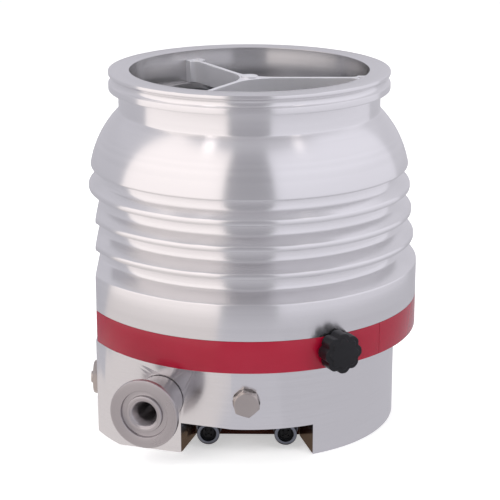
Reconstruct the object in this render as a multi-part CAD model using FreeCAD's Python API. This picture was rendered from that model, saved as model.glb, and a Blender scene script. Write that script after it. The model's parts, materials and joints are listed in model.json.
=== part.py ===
import FreeCAD, Part
import math
import os

os.makedirs("parts", exist_ok=True)

# Lengths are in millimetres and angles in degrees.
# The origin is on the pump axis in the plane of the feet, and +Z points to the inlet.
# An azimuth is seen from the front, which is -Y, and grows to the right.
V = FreeCAD.Vector
AXIS = V(0, 0, 1)

# Clearances and the depth that a drilled hole runs past what it takes
STATIC_GAP = 0.05
HOLE_RUNOUT = 1.0
BODY_GAP = 0.3
BLADE_GAP = 1.5
TIP_GAP = 0.8

# Inlet flange for claw clamps, nominal width 160
FLANGE_RADIUS = 90.0
FLANGE_THICKNESS = 12.0
RIM_GROOVE_RISE = 4.2
RIM_GROOVE_HEIGHT = 5.6
RIM_GROOVE_DEPTH = 2.0
CENTRING_RADIUS = 76.5
CENTRING_DEPTH = 4.0
INLET_RADIUS = 75.0
INLET_DEPTH = 20.5
LEDGE_RADIUS = 70.0
LEDGE_THICKNESS = 4.5

# Finned housing
HOUSING_RADIUS = 109.3
HOUSING_BORE_RADIUS = 79.0
NECK_RADIUS = 83.8
NECK_HEIGHT = 13.5
SHOULDER_INSET = 6.9
SHOULDER_HEIGHT = 34.0
SHOULDER_BULGE = 3.0
SHOULDER_RISE = 63.5
SHOULDER_LAND = 1.6
BODY_HEIGHT = 43.5
FIN_TIP_INSETS = (2.3, 4.0, 5.3)
FIN_RISES = (18.3, 34.8, 50.6)
FIN_LAND = 3.4
GROOVE_INSET = 12.7
GROOVE_SLOPE_HEIGHT = 5.2
HOUSING_FLAT_DISTANCE = 96.9
HOUSING_FLAT_RISE = 86.0

# Coloured band
BAND_HEIGHT = 20.5
BAND_THICKNESS = 0.6
BAND_GLUE = 0.1
BAND_SEAM_AZIMUTH = 47.6
BAND_SEAM_WIDTH = 0.3

# Base
BASE_HEIGHT = 62.0
BASE_WALL = 16.8
BASE_FLAT_DISTANCE = 97.8
LOBE_START = 30.0
PORT_FLAT_AZIMUTH = -18.0
PORT_FLAT_DISTANCE = 94.0
SPIGOT_HEIGHT = 4.0
CHAMBER_INNER_RADIUS = 40.0
CHAMBER_OUTER_RADIUS = 72.0
CHAMBER_FLOOR = 34.0
FRONT_AZIMUTH = -1.1

# Front bay between the feet
BAY_HEIGHT = 20.0
BAY_BACK_DISTANCE = 57.0
BAY_BACK_HALF_WIDTH = 33.4
BAY_SIDE_SLOPE = 0.27
BAY_MARGIN = 45.0
BOARD_THICKNESS = 1.6
BOARD_FLOOR_GAP = 0.6
POCKET_HALF_WIDTH = 27.0
POCKET_DEPTH = 16.0
POCKET_LEDGE = 5.5
COVER_THICKNESS = 2.0
COVER_LIFT = 0.8
COVER_SCREW_RADIUS = 1.25
COVER_SCREW_HEAD_RADIUS = 2.2
COVER_SCREW_HEAD_HEIGHT = 0.8
COVER_SCREW_LENGTH = 6.0
CHIP_SIZES = ((9.0, 7.0), (6.0, 5.0), (12.0, 9.0))
CHIP_HEIGHT = 3.0
CHIP_PITCH = 15.0

# Round sockets under the front edge
SOCKET_SPREAD = 24.35
SOCKET_LEVEL = 10.2
SOCKET_RADIUS = 7.1
SOCKET_WALL = 2.2
SOCKET_LENGTH = 23.0
SOCKET_COLLAR_RADIUS = 8.2
SOCKET_COLLAR_LENGTH = 11.0
SOCKET_FACE_DEPTH = 2.5
CONTACT_RADIUS = 0.5
CONTACT_CIRCLE_RADIUS = 2.3
CONTACT_LENGTH = 2.0
CONTACT_COUNT = 4

# Foot threads, M8
FOOT_EDGE = 13.3
FOOT_AZIMUTHS = (45, 135, 225, 315)
FOOT_THREAD_RADIUS = 3.4
FOOT_THREAD_DEPTH = 14.0

# Screws that hold the housing on the base, M6
HOUSING_SCREW_AZIMUTHS = (60, 120, 180, 240, 300)
HOUSING_SCREW_EDGE = 8.1
HOUSING_SCREW_RADIUS = 3.0
HOUSING_SCREW_HEAD_RADIUS = 5.0
HOUSING_SCREW_HEAD_HEIGHT = 6.0
HOUSING_SCREW_GRIP = 12.0
HOUSING_SCREW_BITE = 12.0
HOUSING_SCREW_SOCKET = 5.0
HOUSING_SEAL_INSET = 2.8
HOUSING_SEAL_WIDTH = 2.2

# Fore-vacuum port with a small clamped flange
PORT_OFFSET = -27.3
PORT_LEVEL = 35.7
PORT_LENGTH = 30.0
PORT_TUBE_RADIUS = 14.65
PORT_BORE_RADIUS = 8.3
PORT_FLANGE_RADIUS = 22.0
PORT_RIM_THICKNESS = 3.0
PORT_TAPER_ANGLE = 15.0
PORT_RECESS_RADIUS = 15.0
PORT_RECESS_DEPTH = 2.5
PORT_BOSS_RADIUS = 11.6
PORT_SHANK_LENGTH = 12.0
PORT_CHANNEL_LENGTH = 34.0
PORT_SEAL_WIDTH = 2.0
PORT_SEAL_DEPTH = 1.2
PORT_SEAL_INSET = 5.0

# Screw plugs
FRONT_PLUG_LEVEL = 38.5
FRONT_PLUG_FLATS = 14.0
FRONT_PLUG_TURN = 12.0
FRONT_PLUG_HEAD = 7.5
FRONT_PLUG_SHANK_RADIUS = 4.85
FRONT_PLUG_SHANK_LENGTH = 9.0
SPOTFACE_RADIUS = 8.6
SPOTFACE_DEPTH = 2.6
GAS_CHANNEL_RADIUS = 2.5
SIDE_PLUG_LEVEL = 18.2
SIDE_PLUG_FLATS = 20.6
SIDE_PLUG_HEAD = 5.8
SIDE_PLUG_SHANK_RADIUS = 6.5
SIDE_PLUG_SHANK_LENGTH = 11.0
SIDE_PLUG_BOSS_RADIUS = 4.0
SIDE_PLUG_BOSS_HEIGHT = 1.8
WASHER_THICKNESS = 1.0
WASHER_MARGIN = 0.6

# Vent screw in the band
VENT_AZIMUTH = 28.5
VENT_RISE = 11.5
VENT_INSERT_RADIUS = 6.0
VENT_INSERT_LENGTH = 16.7
VENT_INSERT_FLOOR = 1.5
VENT_SEAT_HOLE_RADIUS = 1.8
VENT_SCREW_RADIUS = 4.0
VENT_TIP_LENGTH = 3.0
VENT_CHANNEL_RADIUS = 2.0
KNOB_RADIUS = 12.75
KNOB_VALLEY_RADIUS = 11.0
KNOB_LOBES = 8
KNOB_THICKNESS = 10.5
KNOB_STANDOFF = 1.0
KNOB_SOCKET_DEPTH = 6.0
KNOB_FACE_RADIUS = 9.4
KNOB_FACE_STEP = 0.8

# Inlet star
ARM_COUNT = 3
ARM_THICKNESS = 3.0
ARM_TOP_DROP = 6.0
ARM_FILLET_RADIUS = 29.0
PAD_WIDTH = 12.0
PAD_DEPTH = 5.6
PAD_FILLET_RADIUS = 4.0
STAR_WALL_GAP = 0.2
STAR_SCREW_RADIUS = 1.5
STAR_SCREW_HEAD_RADIUS = 2.6
STAR_SCREW_HEAD_HEIGHT = 3.0
STAR_SCREW_SEAT = 4.5
STAR_SCREW_SOCKET = 2.5
HUB_COLLAR_RADIUS = 13.0
HUB_COLLAR_HEIGHT = 4.0
HUB_STEM_RADIUS = 8.0
HUB_CAP_RADIUS = 5.5
HUB_CAP_HEIGHT = 1.2

# Magnet bearing and safety bearing at the inlet end
MAGNET_LENGTH = 17.0
MAGNET_GAP = 0.8
ROTOR_MAGNET_RADIUS = 18.5
SAFETY_BEARING_RADIUS = 6.4
SAFETY_BEARING_HEIGHT = 4.5
SAFETY_PIN_RADIUS = 3.2

# Bladed stages, listed from the inlet down
ROTOR_HEIGHTS = (12.0, 11.0, 10.0, 8.0)
STATOR_HEIGHTS = (8.0, 7.0, 6.0)
ROTOR_ANGLES = (42.0, 35.0, 28.0, 22.0)
STATOR_ANGLES = (40.0, 33.0, 26.0)
ROTOR_HUB_RADII = (30.0, 34.0, 40.0, 46.0)
ROTOR_BLADES = (20, 16, 16, 16)
STATOR_HALF_BLADES = 8
TIP_RADIUS = 69.0
BLADE_ROOT_THICKNESS = 2.4
BLADE_TIP_THICKNESS = 1.6
BLADE_EMBED = 0.4
STATOR_RIM_RADIUS = 72.5
SPLIT_GAP = 0.3

# Rotor shaft
SHAFT_RADIUS = 22.0
MOTOR_SHAFT_RADIUS = 10.0
JOURNAL_RADIUS = 5.0

# Screw-groove stage
SLEEVE_RADIUS = 67.0
SLEEVE_WALL = 1.6
SLEEVE_FLOOR_GAP = 4.0
SLEEVE_HUB_HEIGHT = 7.0
RIDGE_GAP = 0.8
GROOVE_FLOOR_RADIUS = 72.5
RIDGE_COUNT = 6
RIDGE_WIDTH = 7.0
RIDGE_TWIST = 70.0
RIDGE_STEPS = 6

# Ball bearing, Ø10 x Ø26 x 8
BEARING_FLOOR = 31.0
BEARING_RADIUS = 13.0
BEARING_WIDTH = 8.0
INNER_RING_RADIUS = 7.4
OUTER_RING_INNER_RADIUS = 10.6
BALL_CIRCLE_RADIUS = 9.0
BALL_COUNT = 7
BALL_GAP = 0.1
CAGE_HALF_WALL = 0.7
CAGE_HEIGHT = 5.0
CAGE_FLOOR = 0.5
SEAT_WALL = 2.0
DAMPER_WIDTH = 2.0
DAMPER_HEIGHT = 2.0
DAMPER_LEVELS = (1.5, 5.5)
NUT_HEIGHT = 6.0
NUT_RADIUS = 8.2
NUT_TIP_RADIUS = 6.0

# Operating fluid reservoir
RESERVOIR_RADIUS = 20.0
RESERVOIR_TOP = 24.0
CAP_RADIUS = 23.0
CAP_LIFT = 0.8
CAP_HEIGHT = 4.0
CAP_SLOT_WIDTH = 3.0
CAP_SLOT_LENGTH = 24.0
CAP_SLOT_DEPTH = 1.8
CAP_SEAL_HEIGHT = 1.5
NUT_OPENING_RADIUS = 9.5
WICK_GAP = 0.5

# Motor
MOTOR_RADIUS = 30.0
MOTOR_WALL = 6.0
MOTOR_MAGNET_RADIUS = 17.0
MOTOR_AIR_GAP = 1.0
MOTOR_FLOOR = 50.0
CORE_HEIGHT = 24.0
COIL_HEIGHT = 8.0
COIL_INSET = 2.5

# Hidden small rings have flats in place of a round outline
HIDDEN_SIDES = 20
RIM_SIDES = 36

# Levels that follow from the sizes above
BAND_TOP = BASE_HEIGHT + BAND_HEIGHT
BASE_RADIUS = HOUSING_BORE_RADIUS + BASE_WALL
SHOULDER_RADIUS = HOUSING_RADIUS - SHOULDER_INSET
GROOVE_RADIUS = HOUSING_RADIUS - GROOVE_INSET
SPOTFACE_DISTANCE = BASE_RADIUS - SPOTFACE_DEPTH
FOOT_CIRCLE_RADIUS = BASE_RADIUS - FOOT_EDGE
HOUSING_SCREW_CIRCLE_RADIUS = BASE_RADIUS - HOUSING_SCREW_EDGE
HOUSING_SEAL_RADIUS = HOUSING_BORE_RADIUS + HOUSING_SEAL_INSET
VENT_LEVEL = BASE_HEIGHT + VENT_RISE
VENT_INSERT_START = HOUSING_RADIUS - BAND_THICKNESS - VENT_INSERT_LENGTH
BODY_TOP = BASE_HEIGHT + BODY_HEIGHT
SHOULDER_FLOOR = BODY_TOP + SHOULDER_RISE
NECK_FLOOR = SHOULDER_FLOOR + SHOULDER_HEIGHT
FLANGE_FLOOR = NECK_FLOOR + NECK_HEIGHT
TOP = FLANGE_FLOOR + FLANGE_THICKNESS
LEDGE_TOP = TOP - INLET_DEPTH
STACK_TOP = LEDGE_TOP - LEDGE_THICKNESS
STACK_FLOOR = BASE_HEIGHT + SPIGOT_HEIGHT
STAR_TOP = TOP - ARM_TOP_DROP
LINER_RADIUS = HOUSING_BORE_RADIUS - STATIC_GAP
BEARING_TOP = BEARING_FLOOR + BEARING_WIDTH
NUT_FLOOR = BEARING_FLOOR - NUT_HEIGHT
CORE_FLOOR = MOTOR_FLOOR + COIL_HEIGHT + BODY_GAP
CORE_TOP = CORE_FLOOR + CORE_HEIGHT
MOTOR_TOP = CORE_TOP + COIL_HEIGHT + MOTOR_WALL


def stage_levels():
    """Bottom and top of each rotor and stator disc, from the inlet down."""
    rotors = []
    stators = []
    level = STACK_TOP - BLADE_GAP
    for index, height in enumerate(ROTOR_HEIGHTS):
        rotors.append((level - height, level))
        level -= height + BLADE_GAP
        if index < len(STATOR_HEIGHTS):
            stators.append((level - STATOR_HEIGHTS[index], level))
            level -= STATOR_HEIGHTS[index] + BLADE_GAP
    return rotors, stators


ROTOR_LEVELS, STATOR_LEVELS = stage_levels()
SCREW_STAGE_TOP = ROTOR_LEVELS[-1][0]
SLEEVE_TOP = SCREW_STAGE_TOP - BODY_GAP
SLEEVE_HUB_FLOOR = SLEEVE_TOP - SLEEVE_HUB_HEIGHT
RECESS_FLOOR = ROTOR_LEVELS[0][1] - MAGNET_LENGTH - SAFETY_BEARING_HEIGHT - BLADE_GAP


def disc(radius, z0, z1):
    """A round disc on the pump axis."""
    return Part.makeCylinder(radius, z1 - z0, V(0, 0, z0))


def ring(inner, outer, z0, z1):
    """A round ring on the pump axis."""
    return disc(outer, z0, z1).cut(disc(inner, z0, z1))


def prism(points, z0, z1):
    """An upright prism over a closed outline of (x, y) points."""
    corners = [V(x, y, z0) for x, y in points]
    outline = Part.makePolygon(corners + corners[:1])
    return Part.Face(outline).extrude(V(0, 0, z1 - z0))


def many_sided(radius, sides, z0, z1, turn=0.0):
    """A regular prism whose corners lie on the radius."""
    step = 360.0 / sides
    angles = [math.radians(turn + step * index) for index in range(sides)]
    return prism([(radius * math.cos(a), radius * math.sin(a)) for a in angles], z0, z1)


def flat_ring(inner, outer, z0, z1, sides=HIDDEN_SIDES):
    """A ring with flats, whose hole clears the inner radius all round."""
    hole_radius = inner / math.cos(math.pi / sides)
    return many_sided(outer, sides, z0, z1).cut(many_sided(hole_radius, sides, z0, z1))


def hexagon(flats, z0, z1, turn=0.0):
    """A hexagonal bar of the given width across its flats."""
    return many_sided(flats / math.sqrt(3), 6, z0, z1, turn)


def revolve(path):
    """Turn a closed outline of (r, z) points round the pump axis.

    A third value bulges the edge that leads to its point, to the right of the way it runs.
    """
    edges = []
    start = path[-1]
    for point in path:
        p0 = V(start[0], 0, start[1])
        p1 = V(point[0], 0, point[1])
        if len(point) == 3:
            along = p1 - p0
            side = V(along.z, 0, -along.x).normalize()
            middle = (p0 + p1) * 0.5 + side * point[2]
            edges.append(Part.Arc(p0, middle, p1).toShape())
        else:
            edges.append(Part.makeLine(p0, p1))
        start = point
    return Part.Face(Part.Wire(edges)).revolve(V(0, 0, 0), AXIS, 360)


def skin(sections, twisted=False):
    """A closed solid over a row of sections with the same number of corners."""
    faces = []
    for lower, upper in zip(sections, sections[1:]):
        count = len(lower)
        for index in range(count):
            after = (index + 1) % count
            quad = [lower[index], lower[after], upper[after], upper[index]]
            if twisted:
                faces.append(Part.Face(Part.makePolygon([quad[0], quad[1], quad[2], quad[0]])))
                faces.append(Part.Face(Part.makePolygon([quad[0], quad[2], quad[3], quad[0]])))
            else:
                faces.append(Part.Face(Part.makePolygon(quad + quad[:1])))
    for end in (sections[0], sections[-1]):
        faces.append(Part.Face(Part.makePolygon(end + end[:1])))
    solid = Part.makeSolid(Part.makeShell(faces))
    if solid.Volume < 0:
        solid.reverse()
    return solid


def radial(shape, azimuth, level=0.0, offset=0.0, distance=0.0):
    """Point a shape's +Z outwards at an azimuth and keep its +Y upwards."""
    placed = shape.copy()
    placed.translate(V(offset, level, distance))
    placed.rotate(V(0, 0, 0), V(1, 0, 0), 90)
    placed.rotate(V(0, 0, 0), AXIS, azimuth)
    return placed


def turned(shape, angle):
    """A copy of a shape, turned round the pump axis."""
    copy = shape.copy()
    copy.rotate(V(0, 0, 0), AXIS, angle)
    return copy


def spot(radius, azimuth):
    """The (x, y) place at a radius and an azimuth."""
    angle = math.radians(azimuth)
    return radius * math.sin(angle), -radius * math.cos(angle)


def moved(shape, x, y, z=0.0):
    """A shifted copy of a shape."""
    copy = shape.copy()
    copy.translate(V(x, y, z))
    return copy


def cap_screw(radius, length, head_radius, head_height, socket):
    """A socket head screw whose head stands on the origin and whose shank points down."""
    shank = disc(radius, -length, 0)
    head = disc(head_radius, 0, head_height)
    recess = hexagon(socket, head_height / 2, head_height)
    return head.fuse(shank).cut(recess)


def housing_groove(floor_level, rim_radius, rim_floor):
    """The part of the outline from a groove's sloping floor up to the rim above it."""
    return [
        (GROOVE_RADIUS, floor_level + GROOVE_SLOPE_HEIGHT),
        (GROOVE_RADIUS, rim_floor),
        (rim_radius, rim_floor),
    ]


def housing_outline():
    """Half section of the housing, up its outside and down its bore."""
    band_radius = HOUSING_RADIUS - BAND_THICKNESS
    path = [
        (HOUSING_BORE_RADIUS, BASE_HEIGHT),
        (band_radius, BASE_HEIGHT),
        (band_radius, BAND_TOP),
        (HOUSING_RADIUS, BAND_TOP),
        (HOUSING_RADIUS, BODY_TOP),
    ]
    floor_level = BODY_TOP
    for inset, rise in zip(FIN_TIP_INSETS, FIN_RISES):
        tip_radius = HOUSING_RADIUS - inset
        tip_level = BODY_TOP + rise
        path += housing_groove(floor_level, tip_radius, tip_level - FIN_LAND)
        path.append((tip_radius, tip_level))
        floor_level = tip_level
    path += housing_groove(floor_level, SHOULDER_RADIUS, SHOULDER_FLOOR - SHOULDER_LAND)
    rim_groove = FLANGE_FLOOR + RIM_GROOVE_RISE
    path += [
        (SHOULDER_RADIUS, SHOULDER_FLOOR),
        (NECK_RADIUS, NECK_FLOOR, SHOULDER_BULGE),
        (NECK_RADIUS, FLANGE_FLOOR),
        (FLANGE_RADIUS, FLANGE_FLOOR),
        (FLANGE_RADIUS, rim_groove),
        (FLANGE_RADIUS, rim_groove + RIM_GROOVE_HEIGHT, -RIM_GROOVE_DEPTH),
        (FLANGE_RADIUS, TOP),
        (CENTRING_RADIUS, TOP),
        (CENTRING_RADIUS, TOP - CENTRING_DEPTH),
        (INLET_RADIUS, TOP - CENTRING_DEPTH),
        (INLET_RADIUS, LEDGE_TOP),
        (LEDGE_RADIUS, LEDGE_TOP),
        (LEDGE_RADIUS, STACK_TOP),
        (HOUSING_BORE_RADIUS, STACK_TOP),
    ]
    return path


def side_flat_cut(distance, z0, z1):
    """Block that mills a vertical flat on the left side."""
    width = 2 * HOUSING_RADIUS
    corner = V(-distance - HOUSING_RADIUS, -HOUSING_RADIUS, z0)
    return Part.makeBox(HOUSING_RADIUS, width, z1 - z0, corner)


def star_screw_radius():
    """Distance of the star's screws from the pump axis."""
    return INLET_RADIUS - STAR_WALL_GAP - PAD_DEPTH / 2


def housing():
    """Turned housing with the inlet flange, four sawtooth grooves and a side flat."""
    body = revolve(housing_outline())
    cuts = [side_flat_cut(HOUSING_FLAT_DISTANCE, BASE_HEIGHT, BASE_HEIGHT + HOUSING_FLAT_RISE)]
    hole_end = BASE_HEIGHT + HOUSING_SCREW_BITE + HOLE_RUNOUT
    for azimuth in HOUSING_SCREW_AZIMUTHS:
        hole = disc(HOUSING_SCREW_RADIUS + STATIC_GAP, BASE_HEIGHT, hole_end)
        cuts.append(moved(hole, *spot(HOUSING_SCREW_CIRCLE_RADIUS, azimuth)))
    for index in range(ARM_COUNT):
        hole = disc(STAR_SCREW_RADIUS + STATIC_GAP, STACK_TOP, LEDGE_TOP)
        hole.translate(V(star_screw_radius(), 0, 0))
        cuts.append(turned(hole, index * 360.0 / ARM_COUNT))
    seat = disc(VENT_INSERT_RADIUS + STATIC_GAP, VENT_INSERT_START, HOUSING_RADIUS)
    channel = disc(VENT_CHANNEL_RADIUS, LEDGE_RADIUS, VENT_INSERT_START)
    cuts.append(radial(seat, VENT_AZIMUTH, VENT_LEVEL))
    cuts.append(radial(channel, VENT_AZIMUTH, VENT_LEVEL))
    return body.cut(Part.makeCompound(cuts))


def marking_band():
    """Thin coloured band in a shallow recess, in two strips that meet at a seam."""
    inner = HOUSING_RADIUS - BAND_THICKNESS + BAND_GLUE
    band = ring(inner, HOUSING_RADIUS, BASE_HEIGHT, BAND_TOP)
    outside = HOUSING_RADIUS + HOLE_RUNOUT
    hole = disc(VENT_INSERT_RADIUS + BODY_GAP, VENT_INSERT_START, outside)
    seam = Part.makeBox(BAND_SEAM_WIDTH, outside, BAND_HEIGHT)
    seam.translate(V(-BAND_SEAM_WIDTH / 2, -outside, BASE_HEIGHT))
    cuts = [
        side_flat_cut(HOUSING_FLAT_DISTANCE, BASE_HEIGHT, BAND_TOP),
        radial(hole, VENT_AZIMUTH, VENT_LEVEL),
        turned(seam, BAND_SEAM_AZIMUTH),
    ]
    return band.cut(Part.makeCompound(cuts))


def beyond_flat(azimuth, distance, z0, z1):
    """Block outside a vertical flat whose normal has the given azimuth."""
    reach = 2 * HOUSING_RADIUS
    block = Part.makeBox(2 * reach, HOUSING_RADIUS, z1 - z0)
    block.translate(V(-reach, -distance - HOUSING_RADIUS, z0))
    return turned(block, azimuth)


def base_outline():
    """Round base with the wide lobe on the left between its flats."""
    lobe = disc(HOUSING_RADIUS, 0, BASE_HEIGHT)
    right_side = Part.makeBox(2 * HOUSING_RADIUS, 2 * HOUSING_RADIUS, BASE_HEIGHT)
    right_side.translate(V(-LOBE_START, -HOUSING_RADIUS, 0))
    body = disc(BASE_RADIUS, 0, BASE_HEIGHT).fuse(lobe.cut(right_side))
    flats = [
        beyond_flat(PORT_FLAT_AZIMUTH, PORT_FLAT_DISTANCE, 0, BASE_HEIGHT),
        beyond_flat(180 - PORT_FLAT_AZIMUTH, PORT_FLAT_DISTANCE, 0, BASE_HEIGHT),
        side_flat_cut(BASE_FLAT_DISTANCE, 0, BASE_HEIGHT),
    ]
    return body.cut(Part.makeCompound(flats))


def front_bay():
    """Space between the front feet, with the recess for the board and the pocket behind it."""
    back = -BAY_BACK_DISTANCE
    front = back - BAY_MARGIN
    front_half = BAY_BACK_HALF_WIDTH + BAY_MARGIN * BAY_SIDE_SLOPE
    mouth = prism([
        (-BAY_BACK_HALF_WIDTH, back),
        (BAY_BACK_HALF_WIDTH, back),
        (front_half, front),
        (-front_half, front),
    ], 0, BAY_HEIGHT)
    slot = Part.makeBox(2 * BAY_BACK_HALF_WIDTH, BOARD_THICKNESS + BODY_GAP, BAY_HEIGHT)
    slot.translate(V(-BAY_BACK_HALF_WIDTH, back, 0))
    pocket_front = back + BOARD_THICKNESS + BODY_GAP
    pocket = Part.makeBox(2 * POCKET_HALF_WIDTH, POCKET_DEPTH, BAY_HEIGHT - COVER_THICKNESS)
    pocket.translate(V(-POCKET_HALF_WIDTH, pocket_front, 0))
    recess_half = POCKET_HALF_WIDTH + POCKET_LEDGE
    recess = Part.makeBox(2 * recess_half, POCKET_DEPTH + POCKET_LEDGE, COVER_LIFT + COVER_THICKNESS)
    recess.translate(V(-recess_half, pocket_front, 0))
    return [turned(shape, FRONT_AZIMUTH) for shape in (mouth, slot, pocket, recess)]


def cover_screw_places():
    """Places of the screws of the bottom cover, before the turn of the front."""
    front = -BAY_BACK_DISTANCE + BOARD_THICKNESS + BODY_GAP + POCKET_LEDGE
    back = front + POCKET_DEPTH - POCKET_LEDGE
    side = POCKET_HALF_WIDTH + POCKET_LEDGE / 2
    return [(side, front), (side, back), (-side, front), (-side, back)]


def port_place(shape):
    """Put a shape, drawn from the port flat outwards, on the port's axis."""
    return radial(shape, PORT_FLAT_AZIMUTH, PORT_LEVEL, PORT_OFFSET, PORT_FLAT_DISTANCE)


def base_centre_cuts():
    """Motor bore, bearing bore, nut opening and reservoir on the pump axis."""
    seat_radius = BEARING_RADIUS + SEAT_WALL + DAMPER_WIDTH
    return [
        disc(MOTOR_RADIUS + STATIC_GAP, MOTOR_FLOOR, MOTOR_TOP),
        disc(seat_radius, BEARING_FLOOR - 2 * BODY_GAP, BEARING_TOP + BODY_GAP),
        disc(MOTOR_SHAFT_RADIUS + TIP_GAP, BEARING_TOP, MOTOR_FLOOR),
        disc(NUT_OPENING_RADIUS, RESERVOIR_TOP, BEARING_FLOOR),
        disc(RESERVOIR_RADIUS, 0, RESERVOIR_TOP),
        disc(CAP_RADIUS + STATIC_GAP, 0, CAP_LIFT + CAP_HEIGHT + CAP_SEAL_HEIGHT),
    ]


def base_screw_cuts():
    """Counterbores of the housing screws, foot threads and cover screw holes."""
    cuts = []
    seat = BASE_HEIGHT - HOUSING_SCREW_GRIP
    for azimuth in HOUSING_SCREW_AZIMUTHS:
        x, y = spot(HOUSING_SCREW_CIRCLE_RADIUS, azimuth)
        cuts.append(moved(disc(HOUSING_SCREW_HEAD_RADIUS + BODY_GAP, 0, seat), x, y))
        cuts.append(moved(disc(HOUSING_SCREW_RADIUS + STATIC_GAP, seat, BASE_HEIGHT), x, y))
    for azimuth in FOOT_AZIMUTHS:
        x, y = spot(FOOT_CIRCLE_RADIUS, azimuth)
        cuts.append(moved(disc(FOOT_THREAD_RADIUS, 0, FOOT_THREAD_DEPTH), x, y))
    hole_end = COVER_LIFT + COVER_SCREW_LENGTH + HOLE_RUNOUT
    for x, y in cover_screw_places():
        hole = moved(disc(COVER_SCREW_RADIUS + STATIC_GAP, 0, hole_end), x, y)
        cuts.append(turned(hole, FRONT_AZIMUTH))
    return cuts


def base_side_cuts():
    """Port seat and channel, plug holes and the gas channel."""
    port_hole = disc(PORT_TUBE_RADIUS + STATIC_GAP, -PORT_SHANK_LENGTH, 0)
    port_channel = disc(PORT_BORE_RADIUS, -PORT_CHANNEL_LENGTH, 0)
    spotface = disc(SPOTFACE_RADIUS, SPOTFACE_DISTANCE, BASE_RADIUS + HOLE_RUNOUT)
    shank_start = SPOTFACE_DISTANCE - FRONT_PLUG_SHANK_LENGTH - HOLE_RUNOUT
    plug_hole = disc(FRONT_PLUG_SHANK_RADIUS + STATIC_GAP, shank_start, SPOTFACE_DISTANCE)
    gas_channel = disc(GAS_CHANNEL_RADIUS, CHAMBER_INNER_RADIUS, shank_start)
    side_start = BASE_FLAT_DISTANCE - SIDE_PLUG_SHANK_LENGTH - HOLE_RUNOUT
    side_hole = disc(SIDE_PLUG_SHANK_RADIUS + STATIC_GAP, side_start, BASE_FLAT_DISTANCE)
    return [
        port_place(port_hole),
        port_place(port_channel),
        radial(spotface, FRONT_AZIMUTH, FRONT_PLUG_LEVEL),
        radial(plug_hole, FRONT_AZIMUTH, FRONT_PLUG_LEVEL),
        radial(gas_channel, FRONT_AZIMUTH, FRONT_PLUG_LEVEL),
        radial(side_hole, -90, SIDE_PLUG_LEVEL),
    ]


def seal_groove():
    """Inner radius and floor of the groove of the housing seal."""
    return HOUSING_SEAL_RADIUS - HOUSING_SEAL_WIDTH / 2, BASE_HEIGHT - HOUSING_SEAL_WIDTH


def base():
    """Machined base with feet, motor tower, fore-vacuum chamber and front bay."""
    spigot = ring(CHAMBER_OUTER_RADIUS, LINER_RADIUS, BASE_HEIGHT, STACK_FLOOR)
    tower = disc(MOTOR_RADIUS + MOTOR_WALL, CHAMBER_FLOOR, MOTOR_TOP)
    chamber = ring(CHAMBER_INNER_RADIUS, CHAMBER_OUTER_RADIUS, CHAMBER_FLOOR, BASE_HEIGHT)
    core_top = disc(CHAMBER_INNER_RADIUS, MOTOR_FLOOR, BASE_HEIGHT).cut(tower)
    groove_inner, groove_floor = seal_groove()
    groove = ring(groove_inner, groove_inner + HOUSING_SEAL_WIDTH, groove_floor, BASE_HEIGHT)
    body = base_outline().cut(Part.makeCompound([chamber, groove])).cut(core_top)
    body = body.fuse([spigot, tower])
    cuts = front_bay() + base_centre_cuts() + base_screw_cuts() + base_side_cuts()
    for tool in cuts:
        body = body.cut(tool)
    return body


def housing_seal():
    """Seal ring between the base and the housing."""
    inner, floor = seal_groove()
    return flat_ring(inner + BODY_GAP, inner + HOUSING_SEAL_WIDTH, floor, BASE_HEIGHT, RIM_SIDES)


def housing_screws():
    """Socket head screws that pull the housing onto the base from below."""
    screw = cap_screw(
        HOUSING_SCREW_RADIUS,
        HOUSING_SCREW_GRIP + HOUSING_SCREW_BITE,
        HOUSING_SCREW_HEAD_RADIUS,
        HOUSING_SCREW_HEAD_HEIGHT,
        HOUSING_SCREW_SOCKET,
    )
    screw.rotate(V(0, 0, 0), V(1, 0, 0), 180)
    seat = BASE_HEIGHT - HOUSING_SCREW_GRIP
    places = [spot(HOUSING_SCREW_CIRCLE_RADIUS, azimuth) for azimuth in HOUSING_SCREW_AZIMUTHS]
    return Part.makeCompound([moved(screw, x, y, seat) for x, y in places])


def star_web():
    """Hub of the star, where three arms meet in wide hollow curves."""
    half = ARM_THICKNESS / 2
    half_angle = math.radians(180.0 / ARM_COUNT)
    centre = (ARM_FILLET_RADIUS + half) / math.sin(half_angle)
    start = centre * math.cos(half_angle)
    step = 360.0 / ARM_COUNT
    edges = []
    for index in range(ARM_COUNT):
        turn = FreeCAD.Rotation(AXIS, index * step)
        next_turn = FreeCAD.Rotation(AXIS, (index + 1) * step)
        right = turn.multVec(V(start, -half, 0))
        left = turn.multVec(V(start, half, 0))
        hollow = FreeCAD.Rotation(AXIS, (index + 0.5) * step).multVec(V(centre - ARM_FILLET_RADIUS, 0, 0))
        edges.append(Part.makeLine(right, left))
        edges.append(Part.Arc(left, hollow, next_turn.multVec(V(start, -half, 0))).toShape())
    web = Part.Face(Part.Wire(edges)).extrude(V(0, 0, STAR_TOP - LEDGE_TOP))
    return moved(web, 0, 0, LEDGE_TOP)


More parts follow.
